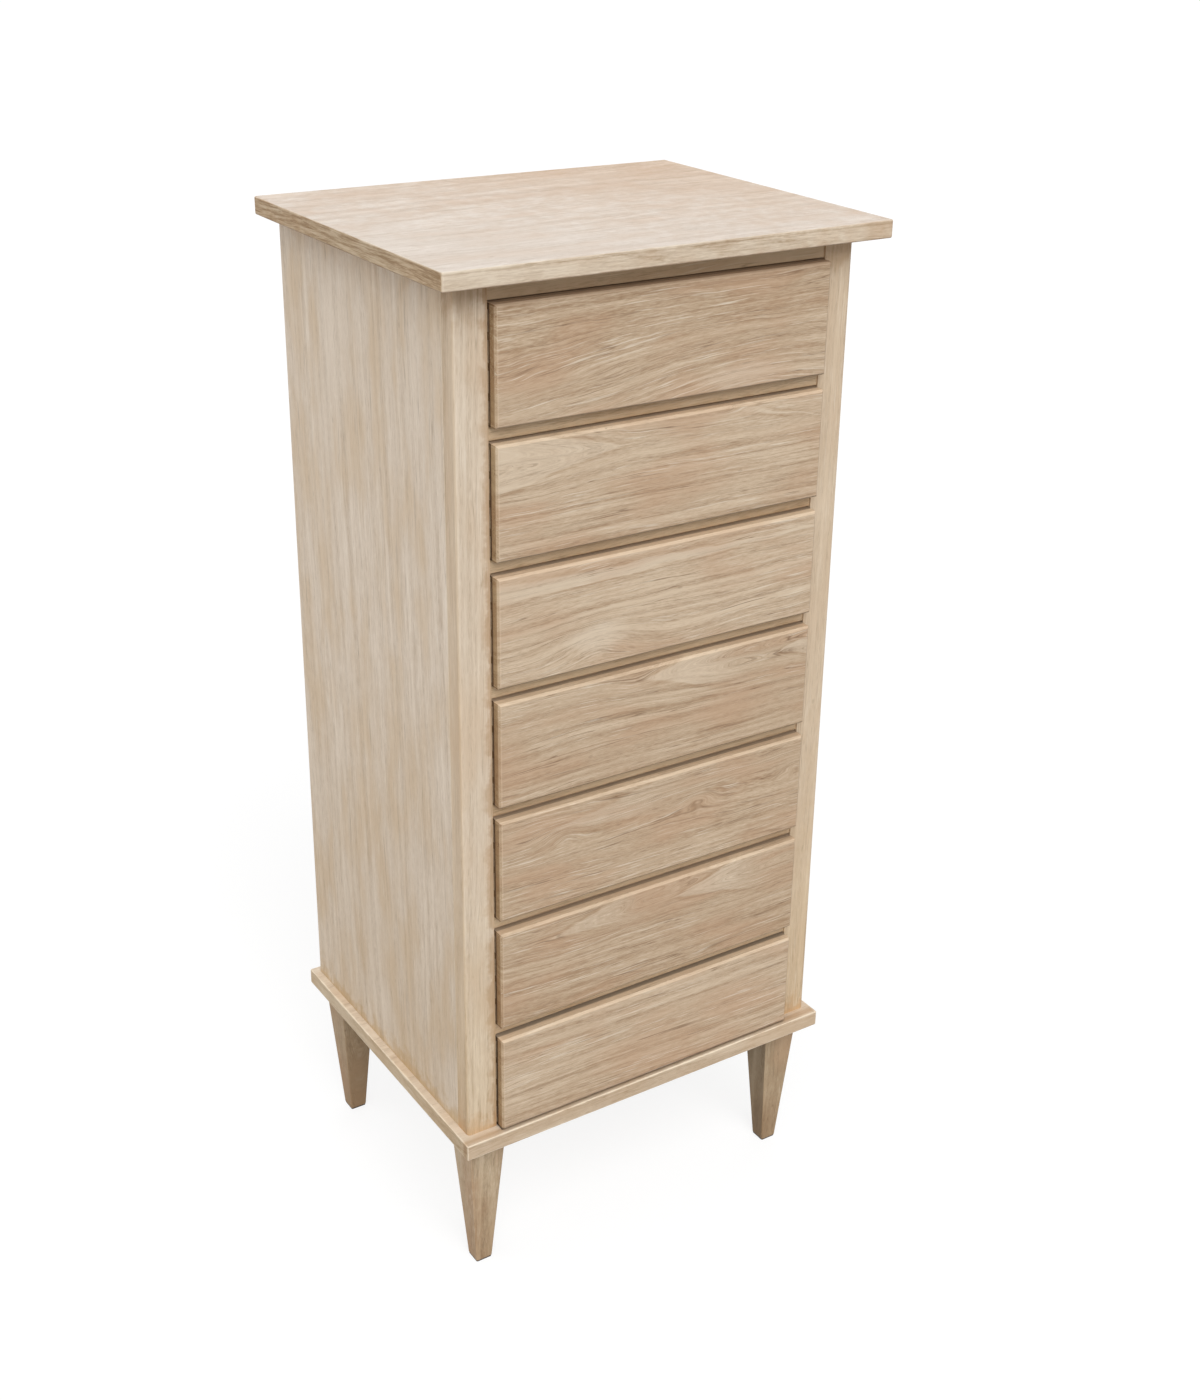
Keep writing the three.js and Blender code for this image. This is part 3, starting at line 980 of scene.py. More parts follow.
YELLOW_FRAME_OAK = replace(
    FRAME_OAK,
    pale=(228, 209, 184),
    deep=(197, 172, 142),
    band_share=0.5,
    streak_share=0.65,
)
RAIL_OAK = OakFinish(
    slot="frame_oak",
    pale=(214, 189, 156),
    deep=(180, 154, 120),
    vein=(134, 106, 76),
    blush=(198, 166, 130),
    chalk=(228, 212, 186),
    arris=(212, 190, 160),
    band_share=1.0,
    streak_share=2.0,
    fibre_share=1.4,
)
SIDE_OAK = OakFinish(
    slot="side_oak",
    pale=(234, 219, 201),
    deep=(203, 183, 160),
    vein=(158, 136, 111),
    blush=(216, 190, 156),
    chalk=(236, 228, 216),
    arris=(224, 208, 186),
    band_share=0.65,
    streak_share=1.25,
    fibre_share=1.2,
    cloud_share=0.9,
)
LEG_OAK = OakFinish(
    slot="leg_oak",
    pale=(208, 187, 158),
    deep=(166, 143, 114),
    vein=(120, 97, 70),
    blush=(194, 160, 128),
    chalk=(226, 212, 190),
    arris=(222, 202, 174),
    arris_width=0.0022,
    band_share=0.8,
    streak_share=1.0,
    cloud_share=1.6,
)
# Painted shade: the front right leg's side faces are darker, for the shade under the chest.
PAINTED_SHADE_LEG_OAK = replace(LEG_OAK, edge_grain=(213, 212, 208))
BOX_OAK = OakFinish(
    slot="box_oak",
    pale=(222, 203, 174),
    deep=(190, 165, 132),
    vein=(148, 118, 86),
    blush=(212, 180, 142),
    chalk=(232, 220, 200),
    arris=(228, 210, 182),
    lime_share=0.12,
)
PLYWOOD = OakFinish(
    slot="plywood",
    pale=(224, 206, 176),
    deep=(200, 177, 143),
    vein=(164, 134, 100),
    blush=(218, 190, 152),
    chalk=(232, 222, 204),
    arris=(214, 192, 160),
    lime_share=0.05,
    pore_share=0.15,
    vein_share=0.2,
)


@dataclass(frozen=True)
class GlidePlastic:
    """The dark moulded plastic of the glides, scuffed by the floor."""

    colour: Triple = (46.0, 38.0, 31.0)
    scuffed: Triple = (82.0, 72.0, 62.0)
    scuffs: Noise = Noise((260.0, 260.0, 90.0), 3.0, 0.7)
    scuff_step: tuple[float, float] = (0.5, 0.72)
    sheen: tuple[float, float] = (0.42, 0.7)
    grit: Noise = Noise((2200.0, 2200.0, 2200.0), 1.0)
    relief: tuple[float, float] = (0.3, 0.0003)

    def dress(self, piece: Piece) -> None:
        """Gives a glide its own material.

        Args:
            piece: The glide.
        """
        coat = Coat(piece, "plastic")
        spot, _ = coat.spot()
        scuffs = spot.noise(self.scuffs).ramp(*self.scuff_step)
        sockets = {
            "Base Color": coat.wiring.blend(scuffs, shade(self.colour), shade(self.scuffed)),
            "Roughness": scuffs.ramp(0.0, 1.0, *self.sheen),
        }
        coat.lay_uneven(spot.noise(self.grit), *self.relief, sockets)


@dataclass(frozen=True)
class ZincSteel:
    """The zinc plated steel of the screws, dull in patches."""

    bright: Triple = (196.0, 194.0, 188.0)
    dull: Triple = (150.0, 146.0, 136.0)
    patches: Noise = Noise((420.0, 420.0, 420.0), 3.0, 0.6)
    patch_step: tuple[float, float] = (0.35, 0.7)
    sheen: tuple[float, float] = (0.28, 0.5)
    brushing: Noise = Noise((3000.0, 3000.0, 3000.0), 1.0)
    relief: tuple[float, float] = (0.2, 0.0002)

    def dress(self, piece: Piece) -> None:
        """Gives a row of screws its material.

        Args:
            piece: The joined screws.
        """
        coat = Coat(piece, "zinc")
        spot, _ = coat.spot()
        patches = spot.noise(self.patches).ramp(*self.patch_step)
        sockets = {
            "Base Color": coat.wiring.blend(patches, shade(self.bright), shade(self.dull)),
            "Metallic": 1.0,
            "Roughness": patches.ramp(0.0, 1.0, *self.sheen),
        }
        coat.lay_uneven(spot.noise(self.brushing), *self.relief, sockets)


def box_of(piece: Piece) -> tuple[Vector, Vector]:
    """Returns a piece's lowest and highest corner.

    Args:
        piece: The piece.

    Returns:
        The lowest and the highest corner.
    """
    corners = [vertex.co for vertex in piece.data.vertices]
    low = Vector(tuple(min(corner[axis] for corner in corners) for axis in range(3)))
    high = Vector(tuple(max(corner[axis] for corner in corners) for axis in range(3)))
    return low, high


def choose(piece: Piece) -> None:
    """Selects one object alone and makes it the active one.

    Args:
        piece: The object.
    """
    bpy.ops.object.select_all(action="DESELECT")
    piece.select_set(True)
    bpy.context.view_layer.objects.active = piece


def everywhere(_start: Vector, _end: Vector) -> bool:
    """Takes every edge."""
    return True


class Workpiece:
    """A merged copy of a CAD node that stands in the node's place with softened arrises."""

    def __init__(self, node: str) -> None:
        """Copies the node's mesh and merges its loose triangles into plane faces.

        Args:
            node: The CAD node's name.
        """
        self.node = node
        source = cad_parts[node]
        self.piece = bpy.data.objects.new(f"{node}_eased", source.data.copy())
        bpy.context.scene.collection.objects.link(self.piece)
        choose(self.piece)
        if self.piece.data.has_custom_normals:
            bpy.ops.mesh.customdata_custom_splitnormals_clear()
        bpy.ops.object.mode_set(mode="EDIT")
        bpy.ops.mesh.select_all(action="SELECT")
        bpy.ops.mesh.remove_doubles(threshold=MERGE_REACH)
        bpy.ops.mesh.dissolve_limited(angle_limit=HIDDEN_FACES)
        bpy.ops.mesh.select_all(action="DESELECT")
        bpy.ops.object.mode_set(mode="OBJECT")

    def soften(self, reach: float, segments: int = 2, wanted: EdgeTest = everywhere) -> None:
        """Rounds the sharp edges that are wanted.

        Args:
            reach: How far the rounding reaches from the edge, in metres.
            segments: How many faces it has.
            wanted: Says of an edge's two ends whether the edge is rounded.
        """
        choose(self.piece)
        bpy.ops.object.mode_set(mode="EDIT")
        bpy.ops.mesh.select_mode(type="EDGE")
        mesh = bmesh.from_edit_mesh(self.piece.data)
        for edge in mesh.edges:
            sharp = len(edge.link_faces) == 2 and edge.calc_face_angle() > SHARP_EDGE
            edge.select_set(sharp and wanted(edge.verts[0].co, edge.verts[1].co))
        bmesh.update_edit_mesh(self.piece.data)
        bpy.ops.mesh.bevel(offset=reach, segments=segments, affect="EDGES", clamp_overlap=True)
        bpy.ops.mesh.select_all(action="DESELECT")
        bpy.ops.object.mode_set(mode="OBJECT")

    def finish(self, body: str) -> Piece:
        """Smooths the shading, seats the piece on its body and hides the node.

        Args:
            body: The body that the piece rides on.

        Returns:
            The finished piece.
        """
        choose(self.piece)
        bpy.ops.object.shade_smooth_by_angle(angle=SMOOTH_BELOW)
        weighted = self.piece.modifiers.new("flat_faces", "WEIGHTED_NORMAL")
        weighted.weight = 100
        weighted.keep_sharp = True
        bpy.ops.object.modifier_apply(modifier=weighted.name)
        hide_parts(self.node)
        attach(self.piece, body)
        log.info("%s stands for %s", self.piece.name, self.node)
        return self.piece


@dataclass
class PanHeadScrew:
    """A cross head screw, of which only the head shows."""

    head_diameter: float = 0.0066
    head_height: float = 0.0021
    dome: float = 0.0012
    recess_length: float = 0.0034
    recess_width: float = 0.0008
    recess_depth: float = 0.0011
    sides: int = 20

    def model(self) -> Piece:
        """Models the head on the ground at the origin, with its recess upwards.

        Returns:
            The head.
        """
        bpy.ops.object.select_all(action="DESELECT")
        bpy.ops.mesh.primitive_cylinder_add(
            vertices=self.sides,
            radius=self.head_diameter / 2,
            depth=self.head_height,
            location=(0.0, 0.0, self.head_height / 2),
        )
        head = bpy.context.object
        bpy.ops.object.transform_apply(location=True, rotation=True, scale=True)
        bpy.ops.object.mode_set(mode="EDIT")
        bpy.ops.mesh.select_mode(type="EDGE")
        mesh = bmesh.from_edit_mesh(head.data)
        for edge in mesh.edges:
            heights = [vertex.co.z for vertex in edge.verts]
            edge.select_set(min(heights) > self.head_height / 2)
        bmesh.update_edit_mesh(head.data)
        bpy.ops.mesh.bevel(offset=self.dome, segments=3, affect="EDGES")
        bpy.ops.object.mode_set(mode="OBJECT")
        for turned in (False, True):
            self._sink(head, turned)
        choose(head)
        bpy.ops.object.shade_smooth_by_angle(angle=SMOOTH_BELOW)
        return head

    def _sink(self, head: Piece, turned: bool) -> None:
        """Cuts one arm of the cross into the head.

        Args:
            head: The head.
            turned: Whether the arm runs along the second axis.
        """
        sizes = (self.recess_length, self.recess_width)
        length, width = reversed(sizes) if turned else sizes
        bpy.ops.object.select_all(action="DESELECT")
        middle = self.head_height
        bpy.ops.mesh.primitive_cube_add(
            size=1.0,
            location=(0.0, 0.0, middle),
            scale=(length, width, 2 * self.recess_depth),
        )
        cutter = bpy.context.object
        bpy.ops.object.transform_apply(location=True, rotation=True, scale=True)
        choose(head)
        cut = head.modifiers.new("recess", "BOOLEAN")
        cut.operation = "DIFFERENCE"
        cut.solver = "EXACT"
        cut.object = cutter
        bpy.ops.object.modifier_apply(modifier=cut.name)
        bpy.data.objects.remove(cutter)

    def row(self, name: str, body: str, places: list[Matrix]) -> Piece:
        """Copies the head to each place and joins the copies into one piece.

        Args:
            name: The piece's name.
            body: The body that it rides on.
            places: Where each head goes.

        Returns:
            The piece.
        """
        model = self.model()
        copies = []
        for place in places:
            copy = bpy.data.objects.new(name, model.data.copy())
            copy.data.transform(place)
            bpy.context.scene.collection.objects.link(copy)
            copies.append(copy)
        bpy.data.objects.remove(model)
        bpy.ops.object.select_all(action="DESELECT")
        for copy in copies:
            copy.select_set(True)
        bpy.context.view_layer.objects.active = copies[0]
        bpy.ops.object.join()
        joined = bpy.context.object
        joined.name = name
        ZincSteel().dress(joined)
        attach(joined, body)
        log.info("%s holds %d screws", name, len(places))
        return joined


@dataclass
class BaseFrame:
    """The base board with its ledge, the four tapered legs and their glides."""

    effects: OakEffects
    softening: float = 0.0005
    outline_reach: float = 0.0025
    case_line: float = 0.007
    leg_softening: float = 0.0006
    # Each leg's tone; the darker tones of the front right and back legs are painted shade from the
    # chest above them.
    leg_tones_and_painted_shade: tuple[float, ...] = (0.03, 0.45, 0.6, 0.35)

    def build(self) -> None:
        """Softens and dresses the base board and legs, and dresses the glides."""
        board = Workpiece("base_board")
        low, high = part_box("base_board")
        board.soften(self.softening, wanted=self._outline_edges(low, high))
        cut = Cut(
            Lay.FLAT_ALONG_X,
            31.0,
            Pith(0.05, 0.09, 0.01),
            ring_width=0.011,
            waviness=0.005,
            # Darker along the ledge in front of the case.
            stains_and_painted_shade=(StainAndPaintedShade(DEPTH, low.y + self.case_line, 0.008, 0.65, 0.2, (205, 180, 150)),),
            lipping=1.4,
        )
        BASE_OAK.dress(self.effects, board.finish("carcass"), cut)
        for number, corner in enumerate(("front_left", "front_right", "back_left", "back_right")):
            self._leg(corner, number, low.z)
            GlidePlastic().dress(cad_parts[f"glide_{corner}"])

    def _outline_edges(self, low: Vector, high: Vector) -> EdgeTest:
        """Returns a test for edges that lie on the outer faces of a board.

        Args:
            low: The board's lowest corner.
            high: Its highest corner.

        Returns:
            The test.
        """

        def outer(point: Vector) -> bool:
            """Says whether a point is near the board's outline."""
            insets = (point.x - low.x, high.x - point.x, point.y - low.y, high.y - point.y)
            return min(insets) < self.outline_reach

        return lambda start, end: outer(start) and outer(end)

    def _leg(self, corner: str, number: int, top: float) -> None:
        """Softens one leg below its top and dresses it.

        Args:
            corner: The corner that it stands at.
            number: The corner's number.
            top: The height of the base board's underside.
        """
        leg = Workpiece(f"leg_{corner}")
        leg.soften(self.leg_softening, wanted=lambda start, end: max(start.z, end.z) < top + SLACK)
        cut = Cut(
            Lay.FACING_ALONG_Z,
            41.0 + number * 2.3,
            Pith(0.06 - 0.03 * number, 0.05, 0.02),
            ring_width=0.009,
            tone=self.leg_tones_and_painted_shade[number],
            stains_and_painted_shade=(
                StainAndPaintedShade(UPWARD, top, 0.012, 0.35),
                # Darker towards the floor.
                StainAndPaintedShade(UPWARD, 0.0, 0.17, 0.9, 0.3, (228, 216, 204)),
            ),
        )
        # The front right leg's side faces carry painted shade.
        finish = PAINTED_SHADE_LEG_OAK if corner == "front_right" else LEG_OAK
        finish.dress(self.effects, leg.finish("carcass"), cut)


@dataclass
class FrontFrame:
    """The two stiles, the top rail and the six divider rails."""

    effects: OakEffects
    softening: float = 0.0004
    stile_edge: float = 0.012
    rail_edge: float = 0.002

    def build(self) -> None:
        """Softens and dresses each stile and rail."""
        for number, side in enumerate(("left", "right")):
            self._stile(side, number)
        self._rail("top_rail", 0)
        for number in range(1, DRAWER_COUNT):
            self._rail(f"divider_rail_{number}", number)

    def _stile(self, side: str, number: int) -> None:
        """Softens and dresses one stile.

        Args:
            side: The side that it stands on.
            number: The side's number.
        """
        node = f"stile_{side}"
        low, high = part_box(node)
        front = low.y + self.stile_edge
        stile = Workpiece(node)
        stile.soften(self.softening, wanted=lambda start, end: max(start.y, end.y) < front)
        # Painted shade along the stile's inner edge beside the proud drawer fronts, strong on the
        # left stile and faint on the right.
        inner, painted_shade_strength = (high.x, 0.55) if side == "left" else (low.x, 0.12)
        cut = Cut(
            Lay.FACING_ALONG_Z,
            11.0 + number * 4.7,
            Pith(0.11, 0.05, 0.01),
            ring_width=0.009,
            waviness=0.003,
            stains_and_painted_shade=(
                StainAndPaintedShade(UPWARD, low.z, 0.03, 0.5),
                StainAndPaintedShade(UPWARD, low.z, 0.45, 0.6, 0.3, (244, 236, 218)),
                # Painted shade at the stile's top, under the top board's overhang.
                StainAndPaintedShade(UPWARD, high.z, 0.045, 0.6, 0.6, (214, 188, 152)),
                StainAndPaintedShade(SIDEWAYS, inner, 0.011, painted_shade_strength, 0.8, (206, 176, 136)),
            ),
        )
        finish = FRAME_OAK if side == "left" else YELLOW_FRAME_OAK
        finish.dress(self.effects, stile.finish("carcass"), cut)

    def _rail(self, node: str, number: int) -> None:
        """Softens and dresses one rail, with painted shade along its top, under the front or board
        above it, and along its lower edge; the top one is paler and its painted shade fainter
        and wider, with no lower band.

        Args:
            node: The rail's CAD node.
            number: Its number from the top, which has nought.
        """
        low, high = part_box(node)
        front = low.y + self.rail_edge
        rail = Workpiece(node)
        rail.soften(self.softening, wanted=lambda start, end: max(start.y, end.y) < front)
        # Painted shade: the first band darkens the rail's lower edge by the slit, the second its
        # top under the front or board above.
        if number == 0:
            tone, foot, painted_shade_reach, strength = -0.9, 0.0, 0.03, 0.15
        else:
            tone, foot, painted_shade_reach, strength = -0.35, 0.25, 0.005, 0.5
        cut = Cut(
            Lay.FACING_ALONG_X,
            51.0 + number * 3.1,
            Pith(0.05 + 0.01 * number, 0.06, 0.02),
            ring_width=0.009,
            tone=tone,
            stains_and_painted_shade=(
                StainAndPaintedShade(UPWARD, low.z, 0.004, foot),
                StainAndPaintedShade(UPWARD, high.z, painted_shade_reach, strength, 0.6, (198, 182, 142)),
            ),
        )
        RAIL_OAK.dress(self.effects, rail.finish("carcass"), cut)


@dataclass
class Shell:
    """The side panels with their runners, the top board, the back panel and its screws."""

    effects: OakEffects
    softening: float = 0.0004
    side_edge: float = 0.003
    top_line: float = 0.0035
    screws_a_side: int = 7
    screw_margin: float = 0.03
    screw_edge: float = 0.0045
    screw_turn: float = 0.7
    rail_screws: tuple[float, ...] = (-0.12, 0.0, 0.12)

    def build(self) -> None:
        """Softens and dresses each board, and screws the back on."""
        self._side("left", 0)
        self._side("right", 1)
        self._top()
        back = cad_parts["back_panel"]
        cut = Cut(Lay.FACING_ALONG_Z, 91.0, Pith(0.05, 0.16, 0.05), 0.012, 0.016)
        PLYWOOD.dress(self.effects, back, cut)
        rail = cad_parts["top_back_rail"]
        BOX_OAK.dress(self.effects, rail, Cut(Lay.FLAT_ALONG_X, 93.0, Pith(0.08, 0.05)))
        self._back_screws()

    def _side(self, side: str, number: int) -> None:
        """Softens and dresses one side panel.

        Args:
            side: The side that it stands on.
            number: The side's number.
        """
        node = f"side_panel_{side}"
        low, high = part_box(node)

        def on_outer_face(start: Vector, end: Vector) -> bool:
            """Says whether an edge lies on the panel's outer face."""
            outmost = max(start.x, end.x) < low.x + self.side_edge
            return outmost if side == "left" else min(start.x, end.x) > high.x - self.side_edge

        panel = Workpiece(node)
        panel.soften(self.softening, wanted=on_outer_face)
        cut = Cut(
            Lay.SIDE_ALONG_Z,
            3.0 + number * 8.9,
            Pith(0.34, 0.08, 0.015, 0.01),
            ring_width=0.012,
            stains_and_painted_shade=(
                StainAndPaintedShade(UPWARD, low.z, 0.028, 0.6, 0.9, (228, 206, 160)),
                StainAndPaintedShade(UPWARD, low.z, 0.7, 0.9, 0.25, (240, 237, 232)),
                # Painted shade at the panel's top, under the top board's overhang.
                StainAndPaintedShade(UPWARD, high.z, 0.03, 0.2),
            ),
        )
        SIDE_OAK.dress(self.effects, panel.finish("carcass"), cut)

    def _top(self) -> None:
        """Softens and dresses the top board."""
        top = Workpiece("top_board")
        top.soften(self.softening)
        low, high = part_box("top_board")
        cut = Cut(
            Lay.FLAT_ALONG_X,
            71.0,
            Pith(0.26, 0.11, 0.02),
            ring_width=0.012,
            waviness=0.006,
            tone=0.08,
            stains_and_painted_shade=(
                # Darker towards the right and the back, along the lower edge, and in a thin line
                # below the upper arris.
                StainAndPaintedShade((0.55, 0.83, 0.0), 0.38, 0.62, 0.95, 0.3, (236, 218, 198)),
                StainAndPaintedShade(UPWARD, low.z, 0.0022, 0.7, 0.3, (176, 140, 100)),
                StainAndPaintedShade(UPWARD, high.z - self.top_line, 0.0016, 0.3, 0.9, (176, 150, 104)),
            ),
            lipping=3.0,
        )
        TOP_OAK.dress(self.effects, top.finish("carcass"), cut)

    def _back_screws(self) -> None:
        """Screws the back panel to the side panels and the rear rail."""
        low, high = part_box("back_panel")
        rail_low, rail_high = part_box("top_back_rail")
        span = high.z - low.z - 2 * self.screw_margin
        spots = []
        for index in range(self.screws_a_side):
            height = low.z + self.screw_margin + span * index / (self.screws_a_side - 1)
            spots += [(low.x + self.screw_edge, height), (high.x - self.screw_edge, height)]
        spots += [(across, (rail_low.z + rail_high.z) / 2) for across in self.rail_screws]
        facing = Matrix.Rotation(-pi / 2, 4, "X")
        places = []
        for number, (across, height) in enumerate(spots):
            spun = Matrix.Rotation(number * self.screw_turn, 4, "Z")
            places.append(Matrix.Translation((across, high.y, height)) @ facing @ spun)
        PanHeadScrew().row("back_panel_screws", "carcass", places)


@dataclass(frozen=True)
class Figure:
    """The figure of one drawer front's board, and the painted shade round it."""

    pith: Pith
    waviness: float
    tone: float = 0.0
    darkening: float = 0.0
    swirls: tuple[Swirl, ...] = ()
    wedges: tuple[Wedge, ...] = ()
    vigour: float = 1.0
    # Painted shade: dark bands in the slits at the front's ends, at the back of its top face and
    # along its lower edge, and on its top edge where that band has strength.
    gap: StainAndPaintedShade = StainAndPaintedShade(DEPTH, 0.0, 0.0022, 0.98, 0.1, (78, 46, 16))
    painted_shelf_shade: StainAndPaintedShade = StainAndPaintedShade(BACK_AND_UP, 0.0, 0.0036, 0.97, 0.1, (84, 50, 22))
    foot: StainAndPaintedShade = StainAndPaintedShade(UPWARD, 0.0, 0.003, 0.5, 0.2, (110, 84, 52))
    painted_top_shading: StainAndPaintedShade = StainAndPaintedShade(UPWARD)


FIGURES = (
    Figure(
        Pith(-0.16, 0.03, -0.03),
        0.007,
        0.07,
        2.4,
        swirls=(
            Swirl(-0.27, -0.04, 0.22, 0.07, 0.028),
            Swirl(0.10, -0.062, 0.11, 0.038, -0.022),
            Swirl(0.10, -0.046, 0.075, 0.018, 0.003, 0.55),
        ),
        painted_shelf_shade=StainAndPaintedShade(UPWARD),
        # Painted shade on the first front's top edge, under the top board's overhang.
        painted_top_shading=StainAndPaintedShade(UPWARD, 0.0, 0.0045, 0.6, 0.25, (164, 132, 96)),
    ),
    Figure(
        Pith(-0.20, 0.05, 0.01),
        0.005,
        -0.14,
        -1.2,
        wedges=(
            Wedge(-0.045, 0.042, 0.21, 0.035, 0.5, 0.0, 0.24),
            Wedge(0.205, 0.034, 0.05, 0.02, 0.75, -0.22, 0.10),
        ),
        vigour=0.75,
    ),
    Figure(
        Pith(0.17, 0.05, 0.01),
        0.005,
        -0.20,
        -1.6,
        swirls=(
            Swirl(-0.085, -0.030, 0.052, 0.024, 0.014, 0.8),
            Swirl(0.02, -0.045, 0.06, 0.02, -0.008),
        ),
        wedges=(Wedge(0.34, 0.046, 0.02, 0.02, 0.6, 0.005, 0.7),),
        vigour=0.72,
    ),
    Figure(
        Pith(-0.20, 0.05, 0.0),
        0.005,
        0.02,
        -1.2,
        swirls=(Swirl(-0.035, 0.041, 0.035, 0.013, 0.007),),
        wedges=(
            Wedge(-0.03, 0.047, -0.26, 0.035, 0.5, 0.0, 0.13),
            Wedge(0.155, 0.040, -0.25, 0.02, 0.5, 0.0, 0.08),
        ),
        vigour=0.72,
    ),
    Figure(
        Pith(0.16, 0.04, -0.01),
        0.007,
        0.06,
        -0.5,
        swirls=(
            Swirl(-0.127, 0.026, 0.03, 0.016, 0.013),
            Swirl(0.055, 0.018, 0.026, 0.013, 0.008),
            Swirl(0.20, 0.026, 0.026, 0.013, 0.007),
        ),
        wedges=(Wedge(-0.16, 0.034, -0.14, 0.03, 0.35, 0.03, 0.16),),
        vigour=0.9,
    ),
    Figure(
        Pith(-0.18, 0.05, 0.01),
        0.006,
        0.14,
        -1.2,
        wedges=(
            Wedge(-0.165, 0.034, -0.15, 0.022, 0.45, 0.10, 0.13),
            Wedge(0.025, 0.037, -0.26, 0.026, 0.5, 0.06, 0.12),
        ),
        vigour=0.78,
    ),
    Figure(
        Pith(-0.22, 0.05, 0.01),
        0.004,
        -0.03,
        -1.2,
        vigour=0.92,
        # Darker painted shade in the slits round the lowest front and under it, above the base
        # board.
        gap=StainAndPaintedShade(DEPTH, 0.0, 0.003, 0.98, 0.1, (50, 28, 10)),
        painted_shelf_shade=StainAndPaintedShade(BACK_AND_UP, 0.0, 0.006, 0.98, 0.1, (30, 16, 6)),
        foot=StainAndPaintedShade(UPWARD, 0.0, 0.006, 0.98, 0.1, (34, 20, 10)),
    ),
)


@dataclass
class Drawer:
    """One drawer: its proud front, dovetailed sides, back, thin bottom and three screws."""

    effects: OakEffects
    number: int
    figure: Figure
    softening: float = 0.0005
    chamfer: float = 0.0025
    proud: float = 0.0135
    gap_ahead: float = 0.0013
    shelf_behind: float = 0.0015
    front_seed: float = 2.37
    box_seed: float = 6.1
    screw_places: tuple[float, ...] = (-0.13, 0.0, 0.13)
    screw_turn: float = 9.0

    @property
    def body(self) -> str:
        """The body that the drawer's pieces ride on."""
        return f"drawer_{self.number}"

    def build(self) -> None:
        """Softens the front, and dresses every piece of the drawer."""
        self._front()
        seed = 100.0 + self.number * self.box_seed
        boards = {
            "side_left": (BOX_OAK, Cut(Lay.SIDE_ALONG_Y, seed, Pith(0.09, 0.06, 0.02))),
            "side_right": (BOX_OAK, Cut(Lay.SIDE_ALONG_Y, seed + 1, Pith(0.06, 0.06, 0.02))),
            "back": (BOX_OAK, Cut(Lay.FACING_ALONG_X, seed + 2, Pith(0.07, 0.05, 0.03))),
            "bottom": (
                PLYWOOD,
                Cut(Lay.FLAT_ALONG_X, seed + 3, Pith(0.02, 0.15, 0.05), 0.011, 0.014),
            ),
        }
        for board, (finish, cut) in boards.items():
            finish.dress(self.effects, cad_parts[f"{self.body}_{board}"], cut)
        self._screws()

    def _front(self) -> None:
        """Softens and dresses the front."""
        figure = self.figure
        node = f"{self.body}_front"
        low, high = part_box(node)
        rim = low.y + self.proud
        front = Workpiece(node)
        front.soften(self.softening, 3, lambda start, end: min(start.y, end.y) < rim)
        cut = Cut(
            Lay.FACING_ALONG_X,
            self.number * self.front_seed,
            figure.pith,
            0.0085,
            figure.waviness,
            figure.swirls,
            figure.wedges,
            figure.tone,
            figure.darkening,
            # Painted shade round the proud front: in the slits at its ends, behind its top face,
            # along its lower edge and on its top edge.
            stains_and_painted_shade=(
                replace(figure.gap, place=rim - self.gap_ahead),
                replace(figure.painted_shelf_shade, place=rim + self.shelf_behind + high.z),
                replace(figure.foot, place=low.z),
                replace(figure.painted_top_shading, place=high.z),
            ),
            arris_inset=self.chamfer,
        )
        finish = replace(FRONT_OAK, streak_share=FRONT_OAK.streak_share * figure.vigour)
        finish.dress(self.effects, front.finish(self.body), cut)

    def _screws(self) -> None:
        """Screws the bottom to the back board from below."""
        low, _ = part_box(f"{self.body}_bottom")
        back_low, back_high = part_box(f"{self.body}_back")
        deep = (back_low.y + back_high.y) / 2
        upside_down = Matrix.Rotation(pi, 4, "X")
        places = []
        for across in self.screw_places:
            spun = Matrix.Rotation(across * self.screw_turn, 4, "Z")
            places.append(Matrix.Translation((across, deep, low.z)) @ upside_down @ spun)
        PanHeadScrew().row(f"{self.body}_bottom_screws", self.body, places)


@dataclass(frozen=True)
class Lamp:
    """One broad, even lamp, by angles in degrees.

    Its azimuth goes from the front towards the right. Its strength is what it adds to a white
    surface that faces it. Its width is how broad it looks from the chest.
    """

    name: str
    azimuth: float
    height: float
    strength: float
    width: float

    def build(self) -> None:
        """Builds the lamp."""
        data = bpy.data.lights.new(self.name, "SUN")
        data.energy = self.strength * pi
        data.angle = radians(self.width)
        lamp = bpy.data.objects.new(self.name, data)
        azimuth, height = radians(self.azimuth), radians(self.height)
        toward = Vector((sin(azimuth) * cos(height), -cos(azimuth) * cos(height), sin(height)))
        lamp.rotation_euler = toward.to_track_quat("Z", "Y").to_euler()
        bpy.context.scene.collection.objects.link(lamp)


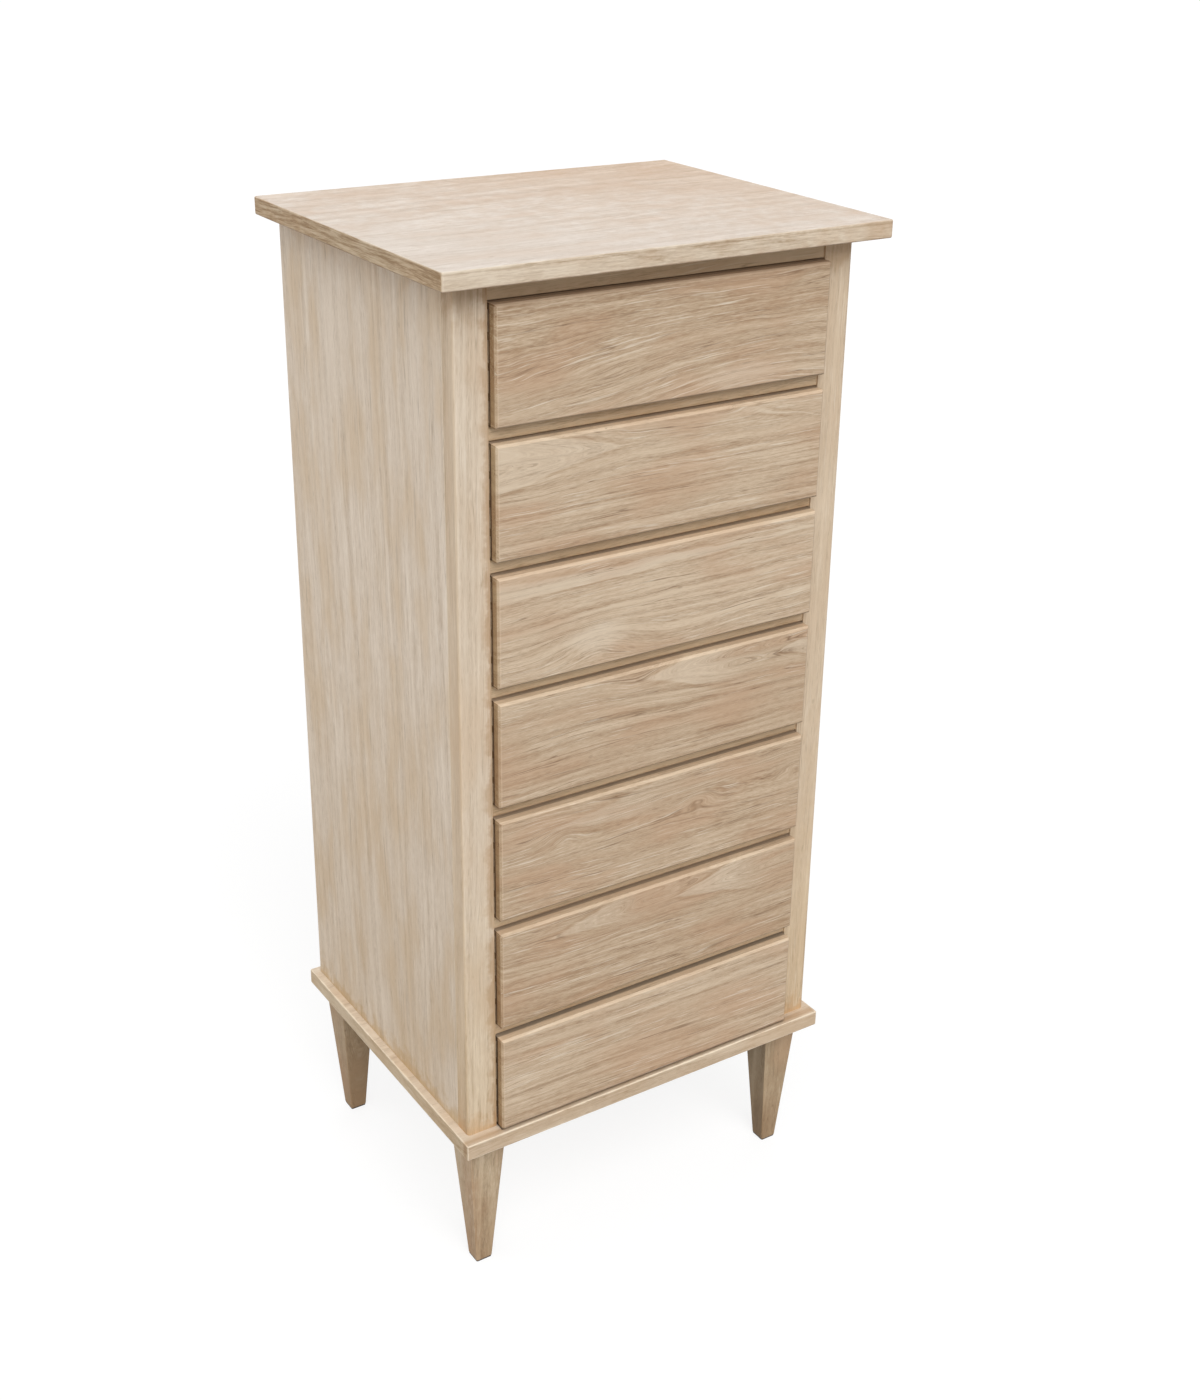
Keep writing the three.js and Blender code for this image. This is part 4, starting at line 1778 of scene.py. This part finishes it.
@dataclass
class Studio:
    """The camera at the photograph's viewing angle, the soft lamps, and the pale floor."""

    camera_place: Triple = (-1.08242, -1.75436, 1.61085)
    right: Triple = (0.833719, -0.551825, 0.020043)
    down: Triple = (-0.205424, -0.343647, -0.916356)
    forward: Triple = (0.512556, 0.759866, -0.399863)
    lens: float = 48.04
    sensor: float = 36.0
    shift: tuple[float, float] = (-0.0247, -0.0409)
    clip: tuple[float, float] = (0.05, 200.0)
    lamps: tuple[Lamp, ...] = (
        Lamp("key_lamp", -15.0, 45.0, 0.68, 45.0),
        Lamp("front_lamp", -40.0, 8.0, 0.12, 90.0),
        Lamp("top_lamp", -60.0, 75.0, 0.04, 60.0),
        Lamp("side_lamp", -95.0, 22.0, 0.27, 80.0),
        Lamp("rear_lamp", 145.0, 12.0, 0.34, 80.0),
    )
    sky: float = 0.34
    floor_half: float = 60.0
    floor_bounce: float = 0.42
    floor_lit: float = 0.22
    floor_glow: float = 0.8

    def build(self) -> None:
        """Builds the camera, lamps, sky and floor."""
        self._camera()
        for lamp in self.lamps:
            lamp.build()
        self._sky()
        self._floor()

    def _camera(self) -> None:
        """Builds the camera."""
        data = bpy.data.cameras.new("camera")
        data.sensor_width = self.sensor
        data.lens = self.lens
        data.shift_x, data.shift_y = self.shift
        data.clip_start, data.clip_end = self.clip
        camera = bpy.data.objects.new("camera", data)
        axes = (Vector(self.right), -Vector(self.down), -Vector(self.forward))
        turn = Matrix(axes).transposed()
        camera.matrix_world = Matrix.Translation(self.camera_place) @ turn.to_4x4()
        bpy.context.scene.collection.objects.link(camera)
        bpy.context.scene.camera = camera

    @staticmethod
    def _seen(wiring: Wiring) -> Signal:
        """Tells the rays that show the world to the eye, straight or by a glossy or clear surface.

        Args:
            wiring: The wiring of the tree that asks.

        Returns:
            1 for such a ray, and 0 for all others.
        """
        rays = wiring.read(wiring.node("ShaderNodeLightPath"))
        seen = rays["Is Camera Ray"].sum("MAXIMUM", rays["Is Glossy Ray"])
        return seen.sum("MAXIMUM", rays["Is Transmission Ray"])

    def _sky(self) -> None:
        """Builds a sky that is white to the eye and softer as a light."""
        world = bpy.data.worlds.new("sky")
        wiring = Wiring.afresh(world)
        strength = self._seen(wiring).ramp(0.0, 1.0, self.sky, 1.0)
        sockets = {"Color": shade(WHITE), "Strength": strength}
        light = wiring.signal("ShaderNodeBackground", sockets)
        wiring.node("ShaderNodeOutputWorld", {"Surface": light})
        bpy.context.scene.world = world

    def _floor(self) -> None:
        """Builds a pale floor that keeps the chest's shadow."""
        bpy.ops.object.select_all(action="DESELECT")
        bpy.ops.mesh.primitive_plane_add(size=2 * self.floor_half, location=(0.0, 0.0, 0.0))
        floor = bpy.context.object
        floor.name = "floor"
        coat = Coat(floor, "paper")
        wiring = coat.wiring
        dull, shown = (
            wiring.signal("ShaderNodeBsdfDiffuse", {"Color": (grey, grey, grey, 1.0)})
            for grey in (self.floor_bounce, self.floor_lit)
        )
        glow = wiring.signal("ShaderNodeEmission", {"Strength": self.floor_glow})
        white = wiring.signal("ShaderNodeAddShader", {0: shown, 1: glow})
        sockets = {0: self._seen(wiring), 1: dull, 2: white}
        coat.lay(wiring.signal("ShaderNodeMixShader", sockets))


def main() -> None:
    """Builds the chest from its foot to its top, then the studio round it."""
    logging.basicConfig(level=logging.INFO, format="%(name)s: %(message)s")
    effects = OakEffects()
    BaseFrame(effects).build()
    FrontFrame(effects).build()
    Shell(effects).build()
    for number, figure in enumerate(FIGURES, start=1):
        Drawer(effects, number, figure).build()
    Studio().build()
    bpy.context.scene.view_settings.view_transform = "Standard"


if __name__ == "__main__":
    main()
